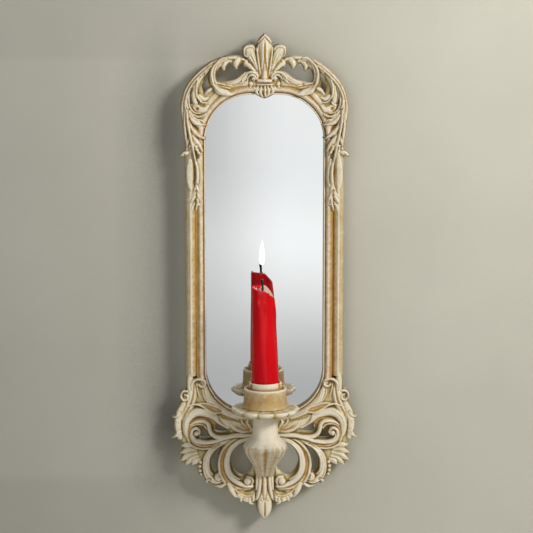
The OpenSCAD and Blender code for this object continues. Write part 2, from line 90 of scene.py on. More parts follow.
class Look:
    """A small builder for node materials."""

    def __init__(self, name):
        self.mat = bpy.data.materials.new(name)
        self.mat.use_nodes = True
        self.tree = self.mat.node_tree
        self.tree.nodes.clear()
        self.out = self.new("ShaderNodeOutputMaterial")
        self.pos = self.new("ShaderNodeTexCoord").outputs["Object"]

    def new(self, kind, sockets=(), **settings):
        return add_node(self.tree, kind, dict(sockets), **settings)

    def noise(self, scale, detail=4.0, rough=0.55, stretch=None):
        place = self.pos
        if stretch:
            place = self.new("ShaderNodeMapping", {"Vector": self.pos, "Scale": stretch}).outputs[0]
        sockets = {"Vector": place, "Scale": scale, "Detail": detail, "Roughness": rough}
        return self.new("ShaderNodeTexNoise", sockets).outputs["Fac"]

    def voronoi(self, scale):
        return self.new("ShaderNodeTexVoronoi", {"Vector": self.pos, "Scale": scale}).outputs["Distance"]

    def attr(self, name):
        return self.new("ShaderNodeAttribute", attribute_name=name).outputs["Fac"]

    def axis(self, which):
        return self.new("ShaderNodeSeparateXYZ", {0: self.pos}).outputs[which]

    def math(self, op, *values):
        return self.new("ShaderNodeMath", enumerate(values), operation=op).outputs[0]

    def clamp01(self, a):
        return self.new("ShaderNodeClamp", {0: a}).outputs[0]

    def span(self, a, lo, hi, to_lo=0.0, to_hi=1.0):
        sockets = enumerate((a, lo, hi, to_lo, to_hi))
        return self.new("ShaderNodeMapRange", sockets, interpolation_type="SMOOTHSTEP").outputs[0]

    def ramp(self, fac, *stops):
        n = self.new("ShaderNodeValToRGB", {0: fac})
        e = n.color_ramp.elements
        while len(e) < len(stops):
            e.new(0.5)
        for k, (at, colour) in enumerate(stops):
            e[k].position = at
            e[k].color = colour
        return n.outputs[0]

    def mix(self, fac, a, b, how="MIX"):
        return self.new("ShaderNodeMix", {0: fac, 6: a, 7: b}, data_type="RGBA", blend_type=how).outputs[2]

    def bump(self, height, depth, strength=1.0, under=None):
        sockets = {"Strength": strength, "Distance": depth, "Height": height}
        if under is not None:
            sockets["Normal"] = under
        return self.new("ShaderNodeBump", sockets).outputs[0]

    def principled(self, colour, rough=0.5, metal=0.0, normal=None, **fixed):
        sockets = {"Base Color": colour, "Roughness": rough, "Metallic": metal}
        if normal is not None:
            sockets["Normal"] = normal
        sockets.update({key.replace("_", " "): value for key, value in fixed.items()})
        return self.new("ShaderNodeBsdfPrincipled", sockets)

    def show(self, shader):
        self.tree.links.new(shader.outputs[0], self.out.inputs["Surface"])
        return self.mat

    def surface(self, *given, **fixed):
        return self.show(self.principled(*given, **fixed))

    def glow(self, colour, strength):
        return self.show(self.new("ShaderNodeEmission", {0: colour, 1: strength}))


IVORY = linear(226, 216, 195)
CREAM = linear(200, 185, 146)
OLIVE = linear(164, 145, 88)
GOLD = linear(184, 140, 62)
ORANGE = linear(174, 108, 56)
UMBER = linear(112, 90, 50)


def painted_look(name, age=1.0):
    """Ivory paint with a gold and umber glaze left in the hollows. 'wash' 0 is a rubbed crown, 1 a deep hollow."""
    k = Look(name)
    wash = k.attr("wash")
    gilt = k.attr("gilt")
    patch = k.noise(95, 5, 0.6)
    streak = k.noise(420, 4, 0.6)
    soft = k.math("MULTIPLY_ADD", k.math("SUBTRACT", patch, 0.5), 0.34 * age, wash)
    soft = k.math("MULTIPLY_ADD", k.math("SUBTRACT", streak, 0.5), 0.22 * age, soft)
    base = k.ramp(soft, (0.26, IVORY), (0.44, CREAM), (0.61, OLIVE), (0.82, UMBER))
    glaze = k.mix(k.span(k.noise(160, 3, 0.5), 0.42, 0.75), GOLD, ORANGE)
    lift = k.math("MULTIPLY", k.math("MAXIMUM", k.math("SUBTRACT", gilt, 1.0), 0.0), 0.4)
    low = k.math("ADD", lift, k.math("ADD", wash, k.noise(210, 4)))
    amount = k.clamp01(k.math("MULTIPLY", gilt, k.span(low, 0.62, 1.15)))
    base = k.mix(amount, base, glaze)
    speck = k.span(k.noise(1500, 2, 0.5), 0.66, 0.74)
    base = k.mix(k.math("MULTIPLY", speck, 0.35 * age), base, OLIVE)
    grain = k.bump(k.noise(900, 4, 0.6), 0.00016, 0.6)
    worn = k.bump(k.noise(230, 3, 0.5), 0.0004, 0.5, under=grain)
    rough = k.span(soft, 0.2, 0.9, 0.42, 0.62)
    return k.surface(base, rough, 0.0, worn, Specular_IOR_Level=0.4)


def metal_look(name, light, dark):
    k = Look(name)
    wear = k.noise(300, 5, 0.6)
    fine = k.noise(1800, 3, 0.6, stretch=(1, 1, 0.2))
    colour = k.ramp(wear, (0.35, dark), (0.65, light))
    return k.surface(colour, k.span(fine, 0.2, 0.8, 0.24, 0.44), 1.0, k.bump(fine, 0.00005, 0.5))


def wood_look(name):
    k = Look(name)
    rings = k.noise(38, 6, 0.6, stretch=(6, 6, 0.5))
    pores = k.noise(420, 3, 0.6, stretch=(5, 5, 0.25))
    colour = k.ramp(rings, (0.3, linear(120, 84, 50)), (0.5, linear(168, 128, 82)), (0.72, linear(188, 150, 102)))
    colour = k.mix(k.span(pores, 0.55, 0.75, 0.0, 0.5), colour, linear(92, 62, 36))
    return k.surface(colour, 0.68, 0.0, k.bump(pores, 0.0002, 0.5), Specular_IOR_Level=0.3)


def board_look(name):
    k = Look(name)
    fibre = k.noise(700, 5, 0.7)
    weave = k.voronoi(900)
    colour = k.ramp(fibre, (0.3, linear(92, 62, 40)), (0.7, linear(140, 102, 70)))
    return k.surface(colour, 0.8, 0.0, k.bump(weave, 0.00025, 0.6), Specular_IOR_Level=0.2)


def felt_look(name):
    k = Look(name)
    fuzz = k.noise(2600, 5, 0.8)
    colour = k.ramp(fuzz, (0.3, linear(44, 58, 40)), (0.7, linear(86, 102, 74)))
    return k.surface(colour, 0.95, 0.0, k.bump(fuzz, 0.0004, 0.9), Specular_IOR_Level=0.1, Sheen_Weight=0.4)


def mirror_look(name):
    k = Look(name)
    haze = k.noise(14, 3, 0.5)
    colour = k.ramp(haze, (0.3, (0.86, 0.875, 0.88, 1)), (0.7, (0.9, 0.91, 0.91, 1)))
    return k.surface(colour, k.span(haze, 0.3, 0.7, 0.0, 0.012), 1.0)


def wax_look(name):
    """Glossy red wax; 'melt' is 1 in the pale pool round the wick."""
    k = Look(name)
    melt = k.attr("melt")
    cloud = k.noise(60, 4, 0.6, stretch=(1, 1, 0.25))
    red = k.ramp(cloud, (0.3, (0.52, 0.0004, 0.004, 1)), (0.7, (0.72, 0.0006, 0.006, 1)))
    pale = k.mix(k.noise(300, 3, 0.6), linear(214, 150, 140), linear(206, 196, 176))
    edge = k.clamp01(k.math("MULTIPLY_ADD", k.math("SUBTRACT", k.noise(420, 3), 0.5), 0.7, melt))
    colour = k.mix(k.span(edge, 0.35, 0.75), red, pale)
    ripple = k.bump(k.noise(120, 3, 0.5, stretch=(1, 1, 0.3)), 0.0011, 0.5)
    return k.surface(colour, 0.24, 0.0, ripple, Subsurface_Weight=0.05, Subsurface_Scale=0.004,
                     Specular_IOR_Level=0.22, Coat_Weight=0.06, Coat_Roughness=0.1)


def wick_look(name):
    k = Look(name)
    char = k.noise(1500, 4, 0.7)
    colour = k.ramp(char, (0.3, linear(10, 8, 8)), (0.8, linear(52, 34, 24)))
    return k.surface(colour, 0.85, 0.0, k.bump(char, 0.0002, 0.7))


def flame_look(name):
    k = Look(name)
    up = k.span(k.axis(2), -0.1815, -0.1745)
    flicker = k.clamp01(k.math("MULTIPLY_ADD", k.noise(180, 2), 0.3, up))
    return k.glow(k.mix(flicker, linear(232, 240, 120), linear(255, 253, 244)), k.span(up, 0.0, 1.0, 1.2, 2.6))


LOOK = {
    "carving": painted_look("painted_carving"),
    "socket": painted_look("painted_socket", 0.8),
    "wood": wood_look("frame_wood"),
    "mirror": mirror_look("mirror_silver"),
    "board": board_look("hardboard"),
    "brass": metal_look("brass_buttons", linear(214, 176, 96), linear(132, 98, 46)),
    "zinc": metal_look("zinc_plate", linear(196, 200, 204), linear(120, 124, 130)),
    "felt": felt_look("felt"),
    "liner": painted_look("painted_liner", 0.6),
    "wax": wax_look("red_wax"),
    "wick": wick_look("wick_cotton"),
    "flame": flame_look("flame_glow"),
}


# ---- Meshes ----

def curve(points, per=6, closed=False):
    """Catmull-Rom curve through points of any width."""
    p = np.asarray(points, float)
    n = len(p)
    out = []
    for i in range(n if closed else n - 1):
        if closed:
            a, b, c, d = p[i - 1], p[i], p[(i + 1) % n], p[(i + 2) % n]
        else:
            a, b, c, d = p[max(i - 1, 0)], p[i], p[i + 1], p[min(i + 2, n - 1)]
        t = (np.arange(per) / per)[:, None]
        out.append(0.5 * (2 * b + (c - a) * t + (2 * a - 5 * b + 4 * c - d) * t ** 2
                          + (3 * b - a - 3 * c + d) * t ** 3))
    if not closed:
        out.append(p[-1:])
    return np.vstack(out)


def blurred(a, cells):
    """Gaussian blur of a grid."""
    r = max(1, int(3 * cells))
    k = np.exp(-0.5 * (np.arange(-r, r + 1) / cells) ** 2)
    k /= k.sum()
    for axis in (0, 1):
        pad = [(r, r) if ax == axis else (0, 0) for ax in (0, 1)]
        p = np.pad(a, pad, mode="edge")
        a = sum(w * np.take(p, range(i, i + a.shape[axis]), axis=axis) for i, w in enumerate(k))
    return a


def smoothed(me, deg):
    me.polygons.foreach_set("use_smooth", np.ones(len(me.polygons), bool))
    me.set_sharp_from_angle(angle=math.radians(deg))


def in_scene(name, data):
    obj = bpy.data.objects.new(name, data)
    SCENE.collection.objects.link(obj)
    return obj


def point_values(me, key, values):
    me.attributes.new(key, "FLOAT", "POINT").data.foreach_set("value", np.asarray(values, np.float32))


def build_mesh(name, verts, face_groups, attrs, look, smooth_deg=50):
    """Mesh object from arrays: verts in mm, face_groups a list of (n, k) index arrays."""
    me = bpy.data.meshes.new(name)
    me.vertices.add(len(verts))
    me.vertices.foreach_set("co", (np.asarray(verts, float) * MM).ravel())
    groups = [np.asarray(f, int) for f in face_groups if len(f)]
    loops = np.concatenate([f.ravel() for f in groups])
    sizes = np.concatenate([np.full(len(f), f.shape[1]) for f in groups])
    me.loops.add(len(loops))
    me.loops.foreach_set("vertex_index", loops)
    me.polygons.add(len(sizes))
    me.polygons.foreach_set("loop_start", np.concatenate([[0], np.cumsum(sizes)[:-1]]))
    me.update(calc_edges=True)
    me.validate()
    plain = {"wash": np.full(len(verts), 0.4), "gilt": np.zeros(len(verts))}
    for key, values in {**plain, **attrs}.items():
        point_values(me, key, values)
    smoothed(me, smooth_deg)
    me.materials.append(LOOK[look])
    return in_scene(name, me)


def settled(obj, node, body="root"):
    """The piece takes a CAD node's place and rides a body."""
    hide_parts(node)
    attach(obj, body)


CUT_DEEP = 0.9       # mm, of the fine cut beside a strand or bead
EDGE_ROUND = 1.7     # mm, how far in from its edge a carving rounds over
EDGE_DROP = 2.6      # mm, how far it falls there
OUTSIDE = -9.0       # mm, 'inside' before anything is drawn


class Carving:
    """A carved panel as a height field. 'inside' is mm inside its outline, 'high' its depth over the frame's back."""

    def __init__(self, x0, x1, z0, z1, ground, step=0.42):
        self.xs = np.arange(x0, x1 + step / 2, step)
        self.zs = np.arange(z0, z1 + step / 2, step)
        self.X, self.Z = np.meshgrid(self.xs, self.zs)
        self.ground = ground
        self.inside = np.full(self.X.shape, OUTSIDE)
        self.high = np.full(self.X.shape, float(ground))
        self.gilt = np.zeros(self.X.shape)

    def window(self, pts, reach):
        x0, z0 = pts[:, :2].min(0) - reach
        x1, z1 = pts[:, :2].max(0) + reach
        i0, i1 = np.searchsorted(self.xs, (x0, x1))
        j0, j1 = np.searchsorted(self.zs, (z0, z1))
        return slice(j0, max(j1, j0 + 1)), slice(i0, max(i1, i0 + 1))

    def nearest(self, pts, win, closed=False):
        """Distance to a polyline, with the side, the place along it and its own columns there."""
        X, Z = self.X[win], self.Z[win]
        best = np.full(X.shape, 1e9)
        side = np.zeros(X.shape)
        extra = np.zeros(X.shape + (pts.shape[1] - 2,))
        ends = np.vstack([pts, pts[:1]]) if closed else pts
        for a, b in zip(ends[:-1], ends[1:]):
            d = b[:2] - a[:2]
            l2 = max(d @ d, 1e-9)
            t = np.clip(((X - a[0]) * d[0] + (Z - a[1]) * d[1]) / l2, 0, 1)
            ex, ez = X - a[0] - t * d[0], Z - a[1] - t * d[1]
            dist = ex * ex + ez * ez
            near = dist < best
            best[near] = dist[near]
            side[near] = np.sign(d[0] * ez - d[1] * ex)[near]
            if pts.shape[1] > 2:
                extra[near] = (a[2:] + t[..., None] * (b[2:] - a[2:]))[near]
        return np.sqrt(best), side, extra

    def shape_measure(self, pts, win):
        """Mm inside a closed outline; negative outside."""
        d, _, _ = self.nearest(pts, win, closed=True)
        X, Z = self.X[win], self.Z[win]
        odd = np.zeros(X.shape, bool)
        for a, b in zip(pts, np.roll(pts, -1, axis=0)):
            if a[1] == b[1]:
                continue
            cross = (a[1] > Z) != (b[1] > Z)
            odd ^= cross & (X < (b[0] - a[0]) * (Z - a[1]) / (b[1] - a[1]) + a[0])
        return np.where(odd, d, -d)

    def body(self, points, per=5):
        pts = curve(points, per, closed=True)
        win = self.window(pts, 3)
        self.inside[win] = np.maximum(self.inside[win], self.shape_measure(pts, win))

    def pierce(self, points, per=5):
        pts = curve(points, per, closed=True)
        win = self.window(pts, 3)
        self.inside[win] = np.minimum(self.inside[win], -self.shape_measure(pts, win))

    def slit(self, points, width):
        pts = curve(points, 6)
        win = self.window(pts, 3)
        d, _, _ = self.nearest(pts, win)
        self.inside[win] = np.minimum(self.inside[win], d - width / 2)

    def undercut(self, high, away, width, outside):
        """Heights with the fine cut that stands a strand or bead off its ground."""
        cut = np.clip(1 - away / width, 0, 1) * outside
        return high - CUT_DEEP * cut * np.clip((high - self.ground + 1.2) / 3, 0.3, 1)

    def strand(self, form, points, wide, top, gilt=0.0, groove=0.5):
        """A carved strand. 'wide' and 'top' are a number, (start, middle, end) or a list per point."""
        p = np.asarray(points, float)
        steps = np.concatenate([[0], np.cumsum(np.hypot(*np.diff(p, axis=0).T))])
        s = steps / steps[-1]

        def along(v):
            if np.isscalar(v):
                return np.full(len(s), float(v))
            if isinstance(v, list):
                return np.array(v, float)
            a, b, c = v
            return a * (1 - s) * (1 - 2 * s) + 4 * b * s * (1 - s) + c * s * (2 * s - 1)

        pts = curve(np.column_stack([p, along(wide) / 2, along(top), s]), 6)
        pts[:, 2] = np.maximum(pts[:, 2], 0.25)
        reach = pts[:, 2].max() + 1.6
        win = self.window(pts, reach)
        d, side, extra = self.nearest(pts, win)
        half, tall, place = extra[..., 0], extra[..., 1], extra[..., 2]
        u = d / half
        rise = self.profile(form, np.clip(u, 0, 1), side, place, steps[-1]) * (tall - self.ground) + self.ground
        high = self.undercut(self.high[win], d - half, groove, u >= 1)
        self.high[win] = np.where(u < 1, np.maximum(np.minimum(high, tall - 0.8), rise), high)
        self.inside[win] = np.maximum(self.inside[win], half - d)
        self.gilt[win] = np.where(u < 1.1, gilt, self.gilt[win])

    ridge = partialmethod(strand, "round")
    leaf = partialmethod(strand, "flat")
    fold = partialmethod(strand, "fold")
    vein = partialmethod(strand, "veined")

    @staticmethod
    def profile(form, u, side, place, length):
        dome = (1 - u ** 2) ** 0.55
        if form == "flat":
            return (1 - u ** 4) ** 0.8 * (0.86 + 0.14 * (1 - u) + 0.05 * side * u)
        if form == "fold":
            return dome * (0.84 + 0.16 * side * u)
        if form == "veined":
            barbs = np.sin(2 * np.pi * (place * length / 3.4 - 0.9 * u))
            return dome * (0.84 + 0.1 * np.cos(np.pi * 2 * u) + 0.06 * barbs * np.clip(u * 2, 0, 1))
        return dome

    def bead(self, x, z, r, top, gilt=0.0, hole=0.0):
        win = self.window(np.array([[x, z]]), r + 1.4)
        d = np.hypot(self.X[win] - x, self.Z[win] - z)
        dome = np.sqrt(np.clip(1 - (d / r) ** 2, 0, 1))
        high = self.undercut(self.high[win], d - r, 0.7, d >= r)
        rise = self.ground + (top - self.ground) * (0.35 + 0.65 * dome)
        if hole:
            rise = rise - 2.4 * np.clip(1 - d / hole, 0, 1)
        self.high[win] = np.where(d < r, rise, high)
        self.inside[win] = np.maximum(self.inside[win], r - d)
        self.gilt[win] = np.where(d < r * 1.1, gilt, self.gilt[win])

    def finish(self, name, node, back, base_z, keep=None, mirrored=False):
        """Closed mesh of the panel: carved front, flat back at depth 'back', walls along every edge."""
        inside = self.inside if keep is None else np.minimum(self.inside, keep)
        high = np.maximum(blurred(self.high, 0.85), self.ground - 2)
        mask = (inside > -0.2).astype(float)
        near, wide = (blurred(high * mask, r) / np.maximum(blurred(mask, r), 0.04) for r in (2.4, 8))
        wash = np.clip(0.37 + 0.42 * (near - high) + 0.12 * (wide - high), 0, 1)
        high = high - EDGE_DROP * np.clip(1 - inside / EDGE_ROUND, 0, 1) ** 2
        gilt = np.clip(blurred(self.gilt, 1.0), 0, 1)
        verts, faces, extra = self.contour(inside, high, back, wash, gilt, base_z)
        if mirrored:
            verts = verts * np.array([-1, 1, 1])
            faces = [f[:, ::-1] for f in faces]
        settled(build_mesh(name, verts, faces, extra, "carving"), node)

    def pair(self, part, back, base_z, keep=None):
        """The right-hand piece and its mirror image."""
        for side, mirrored in (("right", False), ("left", True)):
            self.finish(f"{part}_{side}", f"{side}_{part}", back, base_z, keep, mirrored)

    def contour(self, inside, high, back, wash, gilt, base_z):
        m = inside
        rows, cols = m.shape
        on = m > 0
        fields = np.stack([self.X, self.Z, high, wash, gilt], -1)
        node_id = -np.ones(m.shape, int)
        node_id[on] = np.arange(on.sum())
        data = [fields[on]]
        count = int(on.sum())
        left, right = np.s_[:, :-1], np.s_[:, 1:]
        low, up = np.s_[:-1, :], np.s_[1:, :]
        hid = -np.ones((rows, cols - 1), int)
        vid = -np.ones((rows - 1, cols), int)
        for ids, a, b in ((hid, left, right), (vid, low, up)):
            hit = on[a] != on[b]
            ma, mb = m[a][hit], m[b][hit]
            t = (ma / (ma - mb))[:, None]
            data.append(fields[a][hit] * (1 - t) + fields[b][hit] * t)
            ids[hit] = count + np.arange(hit.sum())
            count += int(hit.sum())
        data = np.vstack(data)
        corners = [node_id[:-1, :-1], node_id[:-1, 1:], node_id[1:, 1:], node_id[1:, :-1]]
        sides = [hid[:-1, :], vid[:, 1:], hid[1:, :], vid[:, :-1]]
        flags = [on[:-1, :-1], on[:-1, 1:], on[1:, 1:], on[1:, :-1]]
        code = sum(f.astype(int) << k for k, f in enumerate(flags))
        front, walls = [], []
        for c in range(1, 16):
            sel = code == c
            if not sel.any():
                continue
            ring = []
            for k in range(4):
                if c >> k & 1:
                    ring.append(("c", k))
                if (c >> k & 1) != (c >> ((k + 1) % 4) & 1):
                    ring.append(("s", k))
            ids = np.stack([(corners if t == "c" else sides)[k][sel] for t, k in ring], 1)
            front.append(ids)
            for k in range(len(ring)):
                a, b = ring[k], ring[(k + 1) % len(ring)]
                if a[0] == "s" and b[0] == "s" and (c >> a[1] & 1):
                    walls.append(np.stack([ids[:, (k + 1) % len(ring)], ids[:, k],
                                           ids[:, k] + count, ids[:, (k + 1) % len(ring)] + count], 1))
        rear = [f[:, ::-1] + count for f in front]
        front_v = np.column_stack([data[:, 0], -data[:, 2], data[:, 1] + base_z])
        rear_v = np.column_stack([data[:, 0], np.full(count, -float(back)), data[:, 1] + base_z])
        extra = {"wash": np.concatenate([data[:, 3], np.full(count, 0.55)]),
                 "gilt": np.concatenate([data[:, 4], np.zeros(count)])}
        return np.vstack([front_v, rear_v]), front + rear + walls, extra


# ---- Crest: heights are from the top edge of the mirror, half widths from its middle ----

def off_mirror(c, up, grow):
    """Mm outside the rounded mirror opening grown by 'grow', for a panel drawn from its top (up=1) or bottom edge."""
    px = np.maximum(np.abs(c.X) - FLAT_HALF_W, 0)
    pz = np.maximum(c.Z * up + CORNER_R, 0)
    return np.where(c.Z * up > -CORNER_R, np.hypot(px, pz), px) - CORNER_R - grow


def crest_side():
    c = Carving(13.5, 79, -70, 38, 13.4)
    c.body([(14.2, 24), (14.2, 30.5), (17.3, 31.9), (22, 33.8), (27.9, 34.1), (33, 33.8), (38.2, 32.3), (43, 30.6),
            (47.7, 28.2), (57.3, 20.7), (65.4, 12.5), (70.5, 2.8), (73.1, -7.6), (73.1, -16.5), (71.2, -26.2),
            (69.8, -32.9), (68.7, -44), (60, -46), (54.5, -40), (53.5, -28), (49.5, -13), (42, -2), (33, 4),
            (24, 6.5), (14.2, 7), (14.2, 14)])
    c.pierce([(10, 20.4), (14.6, 23.8), (17.9, 27), (20.4, 26.6), (21.9, 25), (24.7, 22.4), (27.6, 24.6),
              (30.2, 27), (32.2, 26), (33.7, 23.4), (35.6, 20.9), (37.4, 21.6), (39.6, 22.6), (41.4, 19.6),
              (42.4, 15.4), (42, 12), (39.6, 10.5), (34.9, 10.3), (27.5, 12.9), (22.5, 14.7), (19.8, 17.4),
              (15.6, 20.2)])
    c.pierce([(47.9, 21.3), (50.4, 18.4), (52.4, 15), (53.5, 10.4), (54.8, 7.6), (52.9, 1.3), (50.4, 3.6),
              (48.8, 6.4), (49.3, 12.1), (48.5, 17.9)])
    # Broad underlying forms
    c.leaf([(13, 10), (26, 8.2), (36, 4.4), (44, -2.3), (50.8, -11), (54.4, -20), (56.6, -34)], (5, 5.4, 5), 14.4,
           0.35)
    c.leaf([(13.5, 28.8), (21, 31.6), (27.9, 32.3), (38, 30.6), (46.9, 26.7), (56.2, 19.4), (63.9, 11.4),
            (68.9, 2.4), (71.3, -7.6), (71.4, -16.5), (69.9, -26.2), (68.4, -34), (67.6, -44)], (3, 3.8, 3.2),
           (14.8, 15.8, 15), 0.75)
    c.fold([(30, 29.2), (38, 27.8), (46, 23.6), (53.6, 17.4), (61, 9.4), (65.8, 1.2), (68, -7.6), (67.8, -16),
            (65.6, -26), (62.6, -34), (60, -43)], (3, 5.2, 4.4), (15, 16.4, 15.4), 0.1)
    for root, mid, tip in (((14.6, 29), (16.2, 27), (16.6, 24.8)), ((23, 30.4), (25, 27), (24.8, 23.2)),
                           ((33, 29.4), (35.6, 26), (35.5, 21.9)), ((38.6, 28), (41, 25), (41.8, 21.4))):
        c.leaf([root, mid, tip], (5.4, 5.2, 3), (15.2, 15.9, 14.6), 0.1)
        c.ridge([root, mid, tip], (0.8, 1.2, 0.6), (15.8, 16.6, 15.2), 0.3, 0.3)
    # Leaf between the two slits, with its bright turned edge
    c.leaf([(53.8, 18), (58.4, 11.5), (61.2, 4), (61.6, -4), (60, -11), (56, -15)], (3.4, 6.4, 4), (15, 15.8, 15),
           0.15)
    c.fold([(57, -1), (53, -3.8), (49.2, -2.4)], (4, 4.2, 1.6), (15.4, 15.8, 14.8), 0.15)
    c.fold([(46.4, 5.2), (49.4, 3.4), (51.8, 0.6)], (3.4, 3.6, 1.6), (15.4, 16, 15), 0.1)
    c.ridge([(56, 18), (58, 13.4), (59.4, 6.4), (59.2, 0), (57.3, -3.6), (54.6, -6.6), (51, -6.9)], (1.4, 1.9, 1.2),
            (16, 17.3, 16))
    c.leaf([(59.4, -10), (56.6, -12.6), (52.6, -12.9), (49.8, -10.2)], (4.4, 6, 3), (14.9, 15.6, 15), 0.25)
    c.bead(58.8, -12.2, 1.2, 13.2, 1)
    c.ridge([(58.6, -6.6), (61, -9.2), (63.6, -8.6)], 1.2, 16.2, 0.3, 0.6)
    # Long bright ridges down the shoulder
    c.ridge([(38, 29.6), (45, 26), (52.6, 20.2), (60.8, 12.2), (66, 4.3), (69, -5), (68.8, -14), (66.8, -26),
             (64.2, -38)], (1.2, 1.9, 1.4), (16.2, 17.8, 16.4), 0, 0.6)
    c.ridge([(68.6, -3.9), (67.4, -10.8), (63.7, -15.9), (59.1, -18.9), (54.4, -18.6), (50.6, -16.2)],
            (1.2, 2.1, 1.3), (17, 18.2, 16.6), 0, 0.6)
    c.ridge([(62.8, 8), (65.4, 1), (66, -7), (64.6, -12), (61, -15.6), (56.6, -16.4)], (1, 1.5, 1),
            (16, 16.9, 15.8), 0.35, 0.4)
    c.leaf([(66, -14), (62.6, -20.4), (58.2, -24), (55.6, -29), (55.4, -36)], (4, 6.4, 4), (15.4, 16.6, 15.6), 0.3)
    c.ridge([(52.4, -29.5), (53.6, -23.8), (57.4, -21.6), (61, -22.4)], (1.2, 1.6, 1.2), (16, 17.2, 16), 0.2)
    c.ridge([(67.6, -17), (65.2, -24), (62.4, -30), (60.6, -37)], (1.2, 1.8, 1.2), (16.6, 17.6, 16.4))
    c.ridge([(69.4, -22), (67, -29), (65.6, -36)], (1, 1.5, 1), (16, 16.8, 16), 0.5)
    # Scroll round the large opening, ending in a tongue over the mirror's moulding
    c.leaf([(33, 30.6), (37, 30), (41.1, 27), (44.2, 23.2), (45.6, 19), (45.4, 14.4), (44.2, 9.9), (41.8, 6.4)],
           (2.6, 5.6, 5.4), (15, 16.4, 16.2), 0.1)
    c.fold([(43, 8.4), (39.6, 4), (33.8, 1.6), (29.6, 0.6), (25.6, 1.4)], (5, 7.4, 1.4), (16.4, 17.6, 15.8), 0.05)
    c.ridge([(40.6, 10.2), (36, 9.2), (31.6, 8.3), (28, 7.8)], (1.8, 2.1, 0.8), (16.2, 16.8, 15.4), 0.1)
    c.ridge([(40, 8), (36, 7), (32, 6), (29.2, 5)], (1.2, 1.9, 0.8), (15.8, 15.8, 15.2), 1)
    c.ridge([(38.5, 29), (41.4, 25.9), (43.2, 21.3), (43.6, 15.6), (42.4, 11.2), (39, 9.2)], (1, 1.4, 1),
            (16.2, 17, 16.2), 0.5, 0.4)
    c.ridge([(33, 31.6), (36.8, 31.8), (41.1, 28.5), (45, 23.8), (46.2, 19), (45.9, 14.4), (44.8, 9.9), (42.4, 6.2),
             (39.2, 3.2), (35, 1.2)], (1.2, 2.3, 1.2), (16.4, 18.6, 17), 0, 0.6)
    # Plain leaf under the opening
    c.leaf([(13.5, 17.5), (17.6, 17.2), (21.4, 13.9), (26.5, 11), (33, 9.4)], (4, 5.4, 2.6), (14.8, 15.5, 14.8),
           0.1)
    c.ridge([(14, 20.2), (17.2, 18.8), (20.6, 15.8), (25, 13.1), (32, 11), (38, 10.4)], (1, 1.5, 1),
            (15.8, 16.2, 15.6), 0.9, 0.4)
    c.ridge([(16, 15), (19, 11.6), (22.4, 9.4)], (1.2, 1.8, 1), (15.4, 16, 15), 0.8)
    c.slit([(63.6, 4.8), (64.7, 0.4), (64, -5.4), (62.9, -8.2)], 1.5)
    return c, np.minimum(c.X - 14.0, off_mirror(c, 1, 2.0))


